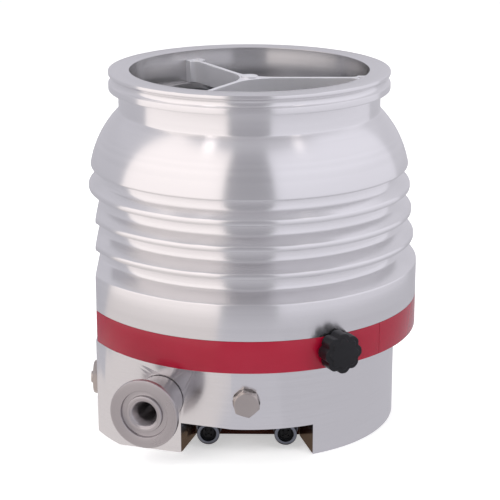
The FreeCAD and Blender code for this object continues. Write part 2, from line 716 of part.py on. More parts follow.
def star_arm():
    """One arm along +X with its flared pad at the wall."""
    half = ARM_THICKNESS / 2
    wall = INLET_RADIUS - STAR_WALL_GAP
    pad_start = wall - PAD_DEPTH
    flare = PAD_FILLET_RADIUS
    dip = flare * (1 - math.sqrt(0.5))
    arm = Part.makeBox(pad_start + 1, ARM_THICKNESS, STAR_TOP - LEDGE_TOP, V(0, -half, LEDGE_TOP))
    edges = []
    outer = PAD_WIDTH / 2
    for side in (1, -1):
        arc = Part.Arc(
            V(pad_start - flare, side * half, LEDGE_TOP),
            V(pad_start - dip, side * (half + dip), LEDGE_TOP),
            V(pad_start, side * (half + flare), LEDGE_TOP),
        )
        edges.append(arc.toShape())
        corner = V(pad_start, side * outer, LEDGE_TOP)
        edges.append(Part.makeLine(V(pad_start, side * (half + flare), LEDGE_TOP), corner))
        edges.append(Part.makeLine(corner, V(wall, side * outer, LEDGE_TOP)))
    edges.append(Part.makeLine(V(wall, outer, LEDGE_TOP), V(wall, -outer, LEDGE_TOP)))
    edges.append(Part.makeLine(V(pad_start - flare, half, LEDGE_TOP), V(pad_start - flare, -half, LEDGE_TOP)))
    wire = Part.Wire(Part.__sortEdges__(edges))
    pad = Part.Face(wire).extrude(V(0, 0, STAR_TOP - LEDGE_TOP))
    seat = LEDGE_TOP + STAR_SCREW_SEAT
    screw_x = star_screw_radius()
    hole = Part.makeCylinder(STAR_SCREW_RADIUS + STATIC_GAP, seat - LEDGE_TOP, V(screw_x, 0, LEDGE_TOP))
    bore = Part.makeCylinder(STAR_SCREW_HEAD_RADIUS, STAR_TOP - seat, V(screw_x, 0, seat))
    limit = disc(wall, LEDGE_TOP, STAR_TOP)
    return arm.fuse(pad).common(limit).cut(hole).cut(bore)


def stem_floor():
    """Level of the lower end of the star's stem."""
    return RECESS_FLOOR + BLADE_GAP


def inlet_star():
    """Three-armed star in the inlet, with the stem that carries the upper bearing."""
    arms = [turned(star_arm(), index * 360.0 / ARM_COUNT) for index in range(ARM_COUNT)]
    collar = disc(HUB_COLLAR_RADIUS, LEDGE_TOP - HUB_COLLAR_HEIGHT, LEDGE_TOP)
    stem = disc(HUB_STEM_RADIUS, stem_floor(), LEDGE_TOP)
    cup_top = stem_floor() + SAFETY_BEARING_HEIGHT + BODY_GAP
    cup = disc(SAFETY_BEARING_RADIUS + STATIC_GAP, stem_floor(), cup_top)
    return star_web().fuse(arms + [collar, stem]).cut(cup)


def inlet_star_screws():
    """Small screws that hold the star's pads on the ledge."""
    screw = cap_screw(
        STAR_SCREW_RADIUS,
        STAR_SCREW_SEAT + LEDGE_THICKNESS - BODY_GAP,
        STAR_SCREW_HEAD_RADIUS - BODY_GAP,
        STAR_SCREW_HEAD_HEIGHT,
        STAR_SCREW_SOCKET,
    )
    first = moved(screw, star_screw_radius(), 0, LEDGE_TOP + STAR_SCREW_SEAT)
    return Part.makeCompound([turned(first, index * 360.0 / ARM_COUNT) for index in range(ARM_COUNT)])


def hub_cap():
    """Small round cap on the star's hub."""
    return disc(HUB_CAP_RADIUS, STAR_TOP, STAR_TOP + HUB_CAP_HEIGHT)


def magnet_levels():
    """Lower and upper level of both magnet stacks."""
    top = LEDGE_TOP - HUB_COLLAR_HEIGHT - STATIC_GAP
    return max(top - MAGNET_LENGTH, stem_floor()), top


def magnet_bearing_stator():
    """Magnet stack on the star's stem."""
    z0, z1 = magnet_levels()
    return flat_ring(HUB_STEM_RADIUS, HUB_COLLAR_RADIUS, z0, z1)


def magnet_bearing_rotor():
    """Magnet stack in the recess at the top of the shaft."""
    inner = HUB_COLLAR_RADIUS + MAGNET_GAP
    return flat_ring(inner, ROTOR_MAGNET_RADIUS, RECESS_FLOOR, ROTOR_LEVELS[0][1])


def safety_bearing():
    """Dry catch bearing in the stem, round the shaft's pin."""
    inner = SAFETY_PIN_RADIUS + BODY_GAP
    return flat_ring(inner, SAFETY_BEARING_RADIUS, stem_floor(), stem_floor() + SAFETY_BEARING_HEIGHT)


def rotor_shaft():
    """Stepped shaft with a hollow head for the magnets and a pin for the catch bearing."""
    head_top = ROTOR_LEVELS[0][1]
    pin_top = stem_floor() + SAFETY_BEARING_HEIGHT
    return revolve([
        (0, NUT_FLOOR),
        (JOURNAL_RADIUS, NUT_FLOOR),
        (JOURNAL_RADIUS, BEARING_TOP),
        (MOTOR_SHAFT_RADIUS, BEARING_TOP),
        (MOTOR_SHAFT_RADIUS, SLEEVE_HUB_FLOOR - MOTOR_SHAFT_RADIUS),
        (SHAFT_RADIUS, SLEEVE_HUB_FLOOR - BLADE_GAP),
        (SHAFT_RADIUS, head_top),
        (ROTOR_MAGNET_RADIUS, head_top),
        (ROTOR_MAGNET_RADIUS, RECESS_FLOOR),
        (SAFETY_PIN_RADIUS, RECESS_FLOOR),
        (SAFETY_PIN_RADIUS, pin_top),
        (0, pin_top),
    ])


def blade(root_radius, end_radius, z0, z1, angle, root_thickness, tip_thickness):
    """One flat tapered blade along +X that leans to +Y as it rises."""
    slope = math.radians(angle)
    lean = (z1 - z0) / math.tan(slope) / 2
    sections = []
    for radius, thickness in ((root_radius, root_thickness), (end_radius, tip_thickness)):
        half = thickness / math.sin(abs(slope)) / 2
        sections.append([
            V(radius, -lean - half, z0),
            V(radius, -lean + half, z0),
            V(radius, lean + half, z1),
            V(radius, lean - half, z1),
        ])
    return skin(sections)


def blade_half_width(z0, z1, angle, thickness):
    """Half the width that a leaning blade covers round the axis."""
    slope = math.radians(abs(angle))
    return (z1 - z0) / math.tan(slope) / 2 + thickness / math.sin(slope) / 2


def inside(radius, half_width):
    """Distance along +X at which a blade this wide just lies within the radius."""
    return math.sqrt(radius ** 2 - half_width ** 2)


def rotor_disc(index):
    """Bladed rotor disc, shrunk onto the shaft."""
    z0, z1 = ROTOR_LEVELS[index]
    angle = ROTOR_ANGLES[index]
    count = ROTOR_BLADES[index]
    hub_radius = ROTOR_HUB_RADII[index]
    root_half = blade_half_width(z0, z1, angle, BLADE_ROOT_THICKNESS)
    tip_half = blade_half_width(z0, z1, angle, BLADE_TIP_THICKNESS)
    if index == 0:
        hub = disc(hub_radius, z0, z1)
    else:
        hub = many_sided(hub_radius, count, z0, z1, 180.0 / count)
    flat = hub_radius * math.cos(math.pi / count)
    root = inside(flat, min(root_half, flat / 2)) - BLADE_EMBED
    one = blade(root, inside(TIP_RADIUS, tip_half), z0, z1, angle, BLADE_ROOT_THICKNESS, BLADE_TIP_THICKNESS)
    blades = [turned(one, number * 360.0 / count) for number in range(count)]
    return hub.fuse(blades).cut(disc(SHAFT_RADIUS, z0, z1))


def stator_rim_levels(index):
    """Lower and upper level of a stator's rim, which also spaces it from the next one."""
    top = STATOR_LEVELS[index][1]
    if index + 1 < len(STATOR_LEVELS):
        return STATOR_LEVELS[index + 1][1], top
    return SCREW_STAGE_TOP, top


def stator_half(index):
    """Half of a bladed stator disc, with its rim, on the +Y side."""
    z0, z1 = STATOR_LEVELS[index]
    angle = -STATOR_ANGLES[index]
    rim_floor, rim_top = stator_rim_levels(index)
    rim = flat_ring(STATOR_RIM_RADIUS, LINER_RADIUS, rim_floor, rim_top, RIM_SIDES)
    half = blade_half_width(z0, z1, angle, BLADE_ROOT_THICKNESS)
    inner = max(ROTOR_HUB_RADII[index], SHAFT_RADIUS + half)
    outer = STATOR_RIM_RADIUS / math.cos(math.pi / RIM_SIDES) + BLADE_EMBED
    one = blade(inner, outer, z0, z1, angle, BLADE_TIP_THICKNESS, BLADE_ROOT_THICKNESS)
    margin = math.degrees(math.atan2(half, inner))
    step = (180.0 - 2 * margin) / (STATOR_HALF_BLADES - 1)
    blades = [turned(one, margin + step * number) for number in range(STATOR_HALF_BLADES)]
    reach = 2 * HOUSING_BORE_RADIUS
    corner = V(-reach / 2, SPLIT_GAP / 2 - reach, rim_floor)
    far_side = Part.makeBox(reach, reach, rim_top - rim_floor, corner)
    return rim.cut(far_side).fuse(blades)


def stator_disc(index):
    """Bladed stator disc of two half rings."""
    first = stator_half(index)
    return Part.makeCompound([first, turned(first, 180)])


def inlet_spacer_ring():
    """Ring between the housing's ledge and the first stator, round the first rotor disc."""
    return flat_ring(TIP_RADIUS + TIP_GAP, LINER_RADIUS, STATOR_LEVELS[0][1], STACK_TOP, RIM_SIDES)


def screw_ridge():
    """One helical land on the wall of the screw-groove stage."""
    crest = SLEEVE_RADIUS + RIDGE_GAP
    root = GROOVE_FLOOR_RADIUS + BLADE_EMBED
    half = RIDGE_WIDTH / 2
    sections = []
    for step in range(RIDGE_STEPS + 1):
        part = step / RIDGE_STEPS
        turn = FreeCAD.Rotation(AXIS, RIDGE_TWIST * part)
        level = STACK_FLOOR + (SCREW_STAGE_TOP - STACK_FLOOR) * part
        corners = [(crest, -half), (root, -half), (root, half), (crest, half)]
        sections.append([turn.multVec(V(x, y, level)) for x, y in corners])
    return skin(sections, twisted=True)


def screw_stage_stator():
    """Outer ring of the screw-groove stage, with its helical lands."""
    wall = ring(GROOVE_FLOOR_RADIUS, LINER_RADIUS, STACK_FLOOR, SCREW_STAGE_TOP)
    one = screw_ridge()
    ridges = [turned(one, number * 360.0 / RIDGE_COUNT) for number in range(RIDGE_COUNT)]
    return wall.fuse(ridges)


def screw_stage_hub():
    """Disc that joins the thin sleeve to the shaft."""
    outer = SLEEVE_RADIUS - SLEEVE_WALL
    return disc(outer, SLEEVE_HUB_FLOOR, SLEEVE_TOP).cut(disc(SHAFT_RADIUS, SLEEVE_HUB_FLOOR, SLEEVE_TOP))


def screw_stage_sleeve():
    """Thin sleeve that runs inside the helical lands."""
    return ring(SLEEVE_RADIUS - SLEEVE_WALL, SLEEVE_RADIUS, STACK_FLOOR + SLEEVE_FLOOR_GAP, SLEEVE_TOP)


def bearing_inner_ring():
    """Inner ring of the ball bearing, on the shaft's journal."""
    return flat_ring(JOURNAL_RADIUS, INNER_RING_RADIUS, BEARING_FLOOR, BEARING_TOP)


def bearing_outer_ring():
    """Outer ring of the ball bearing."""
    return flat_ring(OUTER_RING_INNER_RADIUS, BEARING_RADIUS, BEARING_FLOOR, BEARING_TOP)


def ball():
    """A ball with few facets, in the middle of the bearing."""
    inner_room = BALL_CIRCLE_RADIUS - INNER_RING_RADIUS
    outer_room = OUTER_RING_INNER_RADIUS - BALL_CIRCLE_RADIUS
    radius = min(inner_room, outer_room) - BALL_GAP
    waist = radius * math.sqrt(0.5)
    pole = radius / 3
    outline = ((-radius, pole), (-waist, waist), (0, radius), (waist, waist), (radius, pole))
    sections = []
    for level, size in outline:
        corners = [math.radians(60 * number) for number in range(6)]
        sections.append([V(size * math.cos(a), size * math.sin(a), level) for a in corners])
    return moved(skin(sections), BALL_CIRCLE_RADIUS, 0, (BEARING_FLOOR + BEARING_TOP) / 2)


def bearing_balls():
    """Balls, evenly spaced round the race."""
    one = ball()
    return Part.makeCompound([turned(one, number * 360.0 / BALL_COUNT) for number in range(BALL_COUNT)])


def bearing_cage():
    """Cage that spaces the balls."""
    middle = (BEARING_FLOOR + BEARING_TOP) / 2
    z0 = middle - CAGE_HEIGHT / 2
    z1 = middle + CAGE_HEIGHT / 2
    cage = flat_ring(BALL_CIRCLE_RADIUS - CAGE_HALF_WALL, BALL_CIRCLE_RADIUS + CAGE_HALF_WALL, z0, z1)
    pocket = hexagon(2 * (OUTER_RING_INNER_RADIUS - BALL_CIRCLE_RADIUS), z0 + CAGE_FLOOR, z1)
    pocket.translate(V(BALL_CIRCLE_RADIUS, 0, 0))
    for number in range(BALL_COUNT):
        cage = cage.cut(turned(pocket, number * 360.0 / BALL_COUNT))
    return cage


def bearing_seat():
    """Sleeve that holds the outer ring."""
    inner = BEARING_RADIUS + STATIC_GAP
    return flat_ring(inner, BEARING_RADIUS + SEAT_WALL, BEARING_FLOOR, BEARING_TOP)


def bearing_damper_rings():
    """Elastic rings between the sleeve and the base."""
    inner = BEARING_RADIUS + SEAT_WALL
    rings = []
    for level in DAMPER_LEVELS:
        z0 = BEARING_FLOOR + level
        rings.append(flat_ring(inner, inner + DAMPER_WIDTH, z0, z0 + DAMPER_HEIGHT))
    return Part.makeCompound(rings)


def bearing_nut():
    """Conical nut that clamps the inner ring and dips towards the wick."""
    return revolve([
        (JOURNAL_RADIUS + STATIC_GAP, NUT_FLOOR),
        (NUT_TIP_RADIUS, NUT_FLOOR),
        (NUT_RADIUS, BEARING_FLOOR - STATIC_GAP),
        (JOURNAL_RADIUS + STATIC_GAP, BEARING_FLOOR - STATIC_GAP),
    ])


def cap_top():
    """Upper level of the reservoir cap."""
    return CAP_LIFT + CAP_HEIGHT


def oil_wick():
    """Stack of felt that holds the operating fluid."""
    floor = cap_top() + STATIC_GAP
    felt = many_sided(RESERVOIR_RADIUS - WICK_GAP, HIDDEN_SIDES, floor, RESERVOIR_TOP - WICK_GAP)
    return felt


def reservoir_cap():
    """Screwed cap under the reservoir, with a slot for a wide driver."""
    cap = disc(CAP_RADIUS, CAP_LIFT, cap_top())
    slot = Part.makeBox(CAP_SLOT_LENGTH, CAP_SLOT_WIDTH, CAP_SLOT_DEPTH)
    slot.translate(V(-CAP_SLOT_LENGTH / 2, -CAP_SLOT_WIDTH / 2, CAP_LIFT))
    return cap.cut(slot)


def reservoir_cap_seal():
    """Seal ring above the reservoir cap."""
    z0 = cap_top() + STATIC_GAP
    return flat_ring(RESERVOIR_RADIUS, CAP_RADIUS, z0, z0 + CAP_SEAL_HEIGHT - 2 * STATIC_GAP)


def motor_stator_core():
    """Laminated core of the motor."""
    inner = MOTOR_MAGNET_RADIUS + MOTOR_AIR_GAP
    return flat_ring(inner, MOTOR_RADIUS, CORE_FLOOR, CORE_TOP)


def motor_windings():
    """Coil heads below and above the core."""
    inner = MOTOR_MAGNET_RADIUS + MOTOR_AIR_GAP + COIL_INSET
    outer = MOTOR_RADIUS - COIL_INSET
    lower = flat_ring(inner, outer, CORE_FLOOR - COIL_HEIGHT, CORE_FLOOR)
    upper = flat_ring(inner, outer, CORE_TOP, CORE_TOP + COIL_HEIGHT)
    return Part.makeCompound([lower, upper])


def motor_rotor():
    """Magnet sleeve of the motor on the shaft."""
    return flat_ring(MOTOR_SHAFT_RADIUS, MOTOR_MAGNET_RADIUS, CORE_FLOOR, CORE_TOP)


def fore_vacuum_port():
    """Turned port with its clamp taper and an annular recess round the mouth."""
    taper = (PORT_FLANGE_RADIUS - PORT_TUBE_RADIUS) * math.tan(math.radians(PORT_TAPER_ANGLE))
    rim = PORT_LENGTH - PORT_RIM_THICKNESS
    seal_start = -PORT_SEAL_INSET - PORT_SEAL_WIDTH
    seal_floor = PORT_TUBE_RADIUS - PORT_SEAL_DEPTH
    tube = revolve([
        (PORT_BORE_RADIUS, -PORT_SHANK_LENGTH),
        (PORT_TUBE_RADIUS, -PORT_SHANK_LENGTH),
        (PORT_TUBE_RADIUS, seal_start),
        (seal_floor, seal_start),
        (seal_floor, -PORT_SEAL_INSET),
        (PORT_TUBE_RADIUS, -PORT_SEAL_INSET),
        (PORT_TUBE_RADIUS, rim - taper),
        (PORT_FLANGE_RADIUS, rim),
        (PORT_FLANGE_RADIUS, PORT_LENGTH),
        (PORT_RECESS_RADIUS, PORT_LENGTH),
        (PORT_RECESS_RADIUS, PORT_LENGTH - PORT_RECESS_DEPTH),
        (PORT_BOSS_RADIUS, PORT_LENGTH - PORT_RECESS_DEPTH),
        (PORT_BOSS_RADIUS, PORT_LENGTH - BODY_GAP),
        (PORT_BORE_RADIUS, PORT_LENGTH - BODY_GAP),
    ])
    return port_place(tube)


def fore_vacuum_port_seal():
    """Seal ring in the groove of the port."""
    inner = PORT_TUBE_RADIUS - PORT_SEAL_DEPTH
    outer = PORT_TUBE_RADIUS + STATIC_GAP
    seal = flat_ring(inner, outer, -PORT_SEAL_INSET - PORT_SEAL_WIDTH, -PORT_SEAL_INSET)
    return port_place(seal)


def sealing_gas_plug():
    """Hexagonal screw plug in the spotface at the front."""
    seat = SPOTFACE_DISTANCE + WASHER_THICKNESS
    head = hexagon(FRONT_PLUG_FLATS, seat, seat + FRONT_PLUG_HEAD, 90 + FRONT_PLUG_TURN)
    shank = disc(FRONT_PLUG_SHANK_RADIUS, SPOTFACE_DISTANCE - FRONT_PLUG_SHANK_LENGTH, seat)
    return radial(head.fuse(shank), FRONT_AZIMUTH, FRONT_PLUG_LEVEL)


def side_plug():
    """Low hexagonal plug with a round boss on the left flat."""
    seat = BASE_FLAT_DISTANCE + WASHER_THICKNESS
    top = seat + SIDE_PLUG_HEAD
    head = hexagon(SIDE_PLUG_FLATS, seat, top, 90)
    boss = disc(SIDE_PLUG_BOSS_RADIUS, top, top + SIDE_PLUG_BOSS_HEIGHT)
    shank = disc(SIDE_PLUG_SHANK_RADIUS, BASE_FLAT_DISTANCE - SIDE_PLUG_SHANK_LENGTH, seat)
    return radial(head.fuse([boss, shank]), -90, SIDE_PLUG_LEVEL)


def plug_washers():
    """Seal washers under both screw plugs."""
    front = ring(
        FRONT_PLUG_SHANK_RADIUS + STATIC_GAP,
        min(SPOTFACE_RADIUS, FRONT_PLUG_FLATS / 2 + WASHER_MARGIN),
        SPOTFACE_DISTANCE,
        SPOTFACE_DISTANCE + WASHER_THICKNESS,
    )
    side = ring(
        SIDE_PLUG_SHANK_RADIUS + STATIC_GAP,
        SIDE_PLUG_FLATS / 2 - WASHER_MARGIN,
        BASE_FLAT_DISTANCE,
        BASE_FLAT_DISTANCE + WASHER_THICKNESS,
    )
    placed_front = radial(front, FRONT_AZIMUTH, FRONT_PLUG_LEVEL)
    return Part.makeCompound([placed_front, radial(side, -90, SIDE_PLUG_LEVEL)])


def vent_place(shape):
    """Put a shape, drawn from the pump axis outwards, on the vent's axis."""
    return radial(shape, VENT_AZIMUTH, VENT_LEVEL)


def vent_valve_insert():
    """Threaded insert in the housing with the valve seat at its floor."""
    start = VENT_INSERT_START
    end = HOUSING_RADIUS - BAND_THICKNESS
    body = disc(VENT_INSERT_RADIUS, start, end)
    bore = disc(VENT_SCREW_RADIUS + STATIC_GAP, start + VENT_INSERT_FLOOR, end)
    hole = disc(VENT_SEAT_HOLE_RADIUS, start, start + VENT_INSERT_FLOOR)
    return vent_place(body.cut(bore).cut(hole))


def vent_levels():
    """Start of the seal tip, start of the screw, back of the knob and its face."""
    tip = VENT_INSERT_START + VENT_INSERT_FLOOR + STATIC_GAP
    screw = tip + VENT_TIP_LENGTH + STATIC_GAP
    back = HOUSING_RADIUS + KNOB_STANDOFF
    return tip, screw, back, back + KNOB_THICKNESS


def vent_seal_tip():
    """Seal disc that the vent screw presses on the valve seat."""
    tip, screw, _, _ = vent_levels()
    return vent_place(disc(VENT_SCREW_RADIUS - STATIC_GAP, tip, screw - STATIC_GAP))


def vent_screw():
    """Plain stand-in for the threaded stem of the knob."""
    _, screw, back, _ = vent_levels()
    return vent_place(disc(VENT_SCREW_RADIUS, screw, back + KNOB_SOCKET_DEPTH))


def knob_outline(z0):
    """Wavy outline of the knob, with round lobes and hollow valleys."""
    step = math.radians(360.0 / KNOB_LOBES)
    middle = (KNOB_RADIUS + KNOB_VALLEY_RADIUS) / 2
    edges = []
    radii = (middle, KNOB_RADIUS, middle, KNOB_VALLEY_RADIUS, middle)
    for lobe in range(KNOB_LOBES):
        marks = []
        for quarter, radius in enumerate(radii):
            around = (lobe + (quarter - 1) / 4) * step
            marks.append(V(radius * math.cos(around), radius * math.sin(around), z0))
        edges.append(Part.Arc(marks[0], marks[1], marks[2]).toShape())
        edges.append(Part.Arc(marks[2], marks[3], marks[4]).toShape())
    return Part.Face(Part.Wire(edges))


def vent_knob():
    """Star knob with a slightly raised round face."""
    _, _, back, face = vent_levels()
    lobes = knob_outline(back).extrude(V(0, 0, KNOB_THICKNESS - KNOB_FACE_STEP))
    top = disc(KNOB_FACE_RADIUS, face - KNOB_FACE_STEP, face)
    socket = disc(VENT_SCREW_RADIUS, back, back + KNOB_SOCKET_DEPTH)
    return vent_place(lobes.fuse(top).cut(socket))


def electronics_board():
    """Upright board behind the front bay with a few components on its back."""
    half = BAY_BACK_HALF_WIDTH - BODY_GAP
    height = BAY_HEIGHT - BOARD_FLOOR_GAP - BODY_GAP
    front = -BAY_BACK_DISTANCE + STATIC_GAP
    plate = Part.makeBox(2 * half, BOARD_THICKNESS, height, V(-half, front, BOARD_FLOOR_GAP))
    back = front + BOARD_THICKNESS
    chips = []
    for number, (width, tall) in enumerate(CHIP_SIZES):
        middle = (number - 1) * CHIP_PITCH
        corner = V(middle - width / 2, back, SOCKET_LEVEL - tall / 2)
        chips.append(Part.makeBox(width, CHIP_HEIGHT, tall, corner))
    return turned(plate.fuse(chips), FRONT_AZIMUTH)


def socket_place(shape, side):
    """Put a shape, drawn from the board outwards, on a socket's axis."""
    return radial(shape, FRONT_AZIMUTH, SOCKET_LEVEL, side * SOCKET_SPREAD, BAY_BACK_DISTANCE)


def socket_shells():
    """Round metal shells of both sockets, with a wider collar at the board."""
    shell = disc(SOCKET_RADIUS, 0, SOCKET_LENGTH).fuse(disc(SOCKET_COLLAR_RADIUS, 0, SOCKET_COLLAR_LENGTH))
    hollow = shell.cut(disc(SOCKET_RADIUS - SOCKET_WALL, 0, SOCKET_LENGTH))
    return Part.makeCompound([socket_place(hollow, side) for side in (-1, 1)])


def socket_inserts():
    """Insulating inserts of the sockets, with their contacts."""
    face = SOCKET_LENGTH - SOCKET_FACE_DEPTH
    insert = disc(SOCKET_RADIUS - SOCKET_WALL - STATIC_GAP, 0, face)
    contact = many_sided(CONTACT_RADIUS, 8, face, face + CONTACT_LENGTH)
    contact.translate(V(CONTACT_CIRCLE_RADIUS, 0, 0))
    contacts = [turned(contact, 45 + number * 360.0 / CONTACT_COUNT) for number in range(CONTACT_COUNT)]
    filled = insert.fuse(contacts)
    return Part.makeCompound([socket_place(filled, side) for side in (-1, 1)])


def bottom_cover():
    """Flat cover under the electronics pocket."""
    half = POCKET_HALF_WIDTH + POCKET_LEDGE - BODY_GAP
    front = -BAY_BACK_DISTANCE + BOARD_THICKNESS + 2 * BODY_GAP
    depth = POCKET_DEPTH + POCKET_LEDGE - 2 * BODY_GAP
    plate = Part.makeBox(2 * half, depth, COVER_THICKNESS, V(-half, front, COVER_LIFT))
    for x, y in cover_screw_places():
        plate = plate.cut(moved(disc(COVER_SCREW_RADIUS + STATIC_GAP, 0, BAY_HEIGHT), x, y))
        sink = disc(COVER_SCREW_HEAD_RADIUS + STATIC_GAP, 0, COVER_LIFT + COVER_SCREW_HEAD_HEIGHT)
        plate = plate.cut(moved(sink, x, y))
    return turned(plate, FRONT_AZIMUTH)


def bottom_cover_screws():
    """Small screws of the bottom cover."""
    seat = COVER_LIFT + COVER_SCREW_HEAD_HEIGHT
    head = many_sided(COVER_SCREW_HEAD_RADIUS, HIDDEN_SIDES, COVER_LIFT, seat)
    shank = many_sided(COVER_SCREW_RADIUS, HIDDEN_SIDES, seat, COVER_LIFT + COVER_SCREW_LENGTH)
    screw = head.fuse(shank)
    return turned(Part.makeCompound([moved(screw, x, y) for x, y in cover_screw_places()]), FRONT_AZIMUTH)


PARTS = {
    "housing": housing,
    "marking_band": marking_band,
    "base": base,
    "housing_seal": housing_seal,
    "housing_screws": housing_screws,
    "inlet_star": inlet_star,
    "inlet_star_screws": inlet_star_screws,
    "hub_cap": hub_cap,
    "magnet_bearing_stator": magnet_bearing_stator,
    "magnet_bearing_rotor": magnet_bearing_rotor,
    "safety_bearing": safety_bearing,
    "rotor_shaft": rotor_shaft,
    "inlet_spacer_ring": inlet_spacer_ring,
    "screw_stage_stator": screw_stage_stator,
    "screw_stage_hub": screw_stage_hub,
    "screw_stage_sleeve": screw_stage_sleeve,
    "bearing_inner_ring": bearing_inner_ring,
    "bearing_outer_ring": bearing_outer_ring,
    "bearing_balls": bearing_balls,
    "bearing_cage": bearing_cage,
    "bearing_seat": bearing_seat,
    "bearing_damper_rings": bearing_damper_rings,
    "bearing_nut": bearing_nut,
    "oil_wick": oil_wick,
    "reservoir_cap": reservoir_cap,
    "reservoir_cap_seal": reservoir_cap_seal,
    "motor_stator_core": motor_stator_core,
    "motor_windings": motor_windings,
    "motor_rotor": motor_rotor,
    "fore_vacuum_port": fore_vacuum_port,
    "fore_vacuum_port_seal": fore_vacuum_port_seal,
    "sealing_gas_plug": sealing_gas_plug,
    "side_plug": side_plug,
    "plug_washers": plug_washers,
    "vent_valve_insert": vent_valve_insert,
    "vent_seal_tip": vent_seal_tip,
    "vent_screw": vent_screw,
    "vent_knob": vent_knob,
    "electronics_board": electronics_board,
    "socket_shells": socket_shells,
    "socket_inserts": socket_inserts,
    "bottom_cover": bottom_cover,
    "bottom_cover_screws": bottom_cover_screws,
}


def main():
    """Build every node and write it to its own file."""
    shapes = {name: build() for name, build in PARTS.items()}
    for index in range(len(ROTOR_HEIGHTS)):
        shapes["rotor_disc_%d" % (index + 1)] = rotor_disc(index)
    for index in range(len(STATOR_HEIGHTS)):
        shapes["stator_disc_%d" % (index + 1)] = stator_disc(index)
    for name, shape in shapes.items():
        shape.exportStep("parts/%s.step" % name)


main()
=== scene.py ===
import json
import math

import bmesh
import bpy
from mathutils import Matrix, Vector


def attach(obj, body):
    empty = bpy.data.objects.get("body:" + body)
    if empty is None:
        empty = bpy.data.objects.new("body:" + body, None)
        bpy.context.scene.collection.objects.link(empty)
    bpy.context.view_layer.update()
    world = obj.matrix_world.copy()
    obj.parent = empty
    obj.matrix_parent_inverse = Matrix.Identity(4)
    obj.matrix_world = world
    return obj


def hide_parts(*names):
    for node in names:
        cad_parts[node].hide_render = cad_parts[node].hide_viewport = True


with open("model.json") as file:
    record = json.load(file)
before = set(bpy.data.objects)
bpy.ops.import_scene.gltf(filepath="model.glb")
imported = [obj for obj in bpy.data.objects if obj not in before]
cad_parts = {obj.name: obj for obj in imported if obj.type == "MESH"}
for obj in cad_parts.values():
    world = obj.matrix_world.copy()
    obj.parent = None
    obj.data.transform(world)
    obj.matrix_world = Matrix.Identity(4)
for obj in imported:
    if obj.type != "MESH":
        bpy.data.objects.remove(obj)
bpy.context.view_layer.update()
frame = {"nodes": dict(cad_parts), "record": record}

MM = 0.001
UP = Vector((0, 0, 1))
FULL_TURN = 2 * math.pi

# Directions round the pump in degrees; 0 is the front, -Y
FRONT_AZIMUTH = -1.1
PORT_AZIMUTH = -18.0
LEFT_AZIMUTH = -90
VENT_AZIMUTH = 28.5
SEAM_AZIMUTH = 47.6

# Levels of the pump in millimetres
FLANGE_TOP = 228.5
FLANGE_BOTTOM = 216.5
STAR_TOP = 222.5
STAR_SCREW_SEAT = 212.5
LEDGE_TOP = 208.0
LEDGE_BOTTOM = 203.5
NECK_FOOT = 203.0
SHOULDER_FOOT = 169.0
BODY_TOP = 105.5
BAND_TOP = 82.5
VENT_LEVEL = 73.5
BASE_TOP = 62.0
BODY_SCREW_SEAT = 50
FRONT_PLUG_LEVEL = 38.5
PORT_LEVEL = 35.7
BAY_TOP = 20
LEFT_PLUG_LEVEL = 18.2
SOCKET_LEVEL = 10.2

# Radii and distances from the pump axis in millimetres
BODY_RADIUS = 109.3
BAND_SEAT_RADIUS = 108.7
BAND_RADIUS = 109.35
BASE_RADIUS = 95.8
GROOVE_RADIUS = 96.6
FIN_TIPS = ((107.0, 123.8), (105.3, 140.3), (104.0, 156.1))
SHOULDER_RADIUS = 102.4
NECK_RADIUS = 83.8
FLANGE_RADIUS = 90.0
INLET_EDGE = 76.5
INLET_BORE = 75.0
LEDGE_RADIUS = 70.0
STACK_RADIUS = 79.0
HOUSING_FLAT = 96.9
BASE_FLAT = 97.8
PORT_FLAT = 94.0
FRONT_SPOTFACE = 93.2
STAR_SCREW_CIRCLE = 72.0
BODY_SCREW_CIRCLE = 87.7
FOOT_CIRCLE = 82.5

# Further sizes of single pieces in millimetres
PORT_OFFSET = -27.3
PORT_BORE = 5.8
PORT_FLANGE = 22.0
PORT_TUBE = 14.65
PORT_SPIGOT = 13.9
PORT_LENGTH = 30.0
KNOB_RADIUS = 12.75
KNOB_SEAT = 110.3
KNOB_LENGTH = 9.7
KNOB_LOBES = 8
KNOB_VALLEY = 0.86
FRONT_PLUG_TURN = 12.0
BOARD_FACE = -57.0
BOARD_HALF = 33.1
BAY_HALF = 33.4
SOCKET_OFFSET = 24.35
SOCKET_BARREL = 7.1
THREAD_PITCH = 1.25

# Edges flatter than this many degrees are shaded smooth
SMOOTH_ANGLE = 30
KNOB_ANGLE = 50

# Grain of the turned metal: scales per metre, depth in metres
RING_SCALE = 1800.0
BAND_SCALE = 220.0
SMUDGE_SCALE = 14.0
RING_DEPTH = 0.00001

# Painted shade on the wall inside the inlet: its share of the brightness, and its radius in metres
BORE_SHADE = 0.72
SHADED_BORE_RADIUS = 0.0767

# Brightness of the surroundings
WORLD_FILL = 0.45
FLOOR_GLOW = 0.45
# Painted shade: a dark card under the pump, seen only in polished metal
UNDER_SHADE_GLOW = 0.07
CEILING_MIDDLE_GLOW = 0.42
CEILING_EDGE_GLOW = 0.54

# Extent of the surroundings in metres
CARD_LEVEL = -0.0002
FLOOR_LEVEL = -0.0004
NEAR_RADIUS = 0.093
FAR_RADIUS = 0.50
WALL_RADIUS = 2.0
WALL_MIDDLE = 0.8
CEILING_LEVEL = 2.4
CEILING_RADIUS = 1.4
CEILING_MIDDLE = 0.7
SPOT_DISTANCE = 1.5
SPOT_AIM = 0.19
LAMP_AIM = 0.1

# Tints of the surroundings
WARM = (1.04, 0.97, 0.97)
COOL = (0.995, 0.975, 1.06)
BROWN = (1.25, 0.85, 0.6)

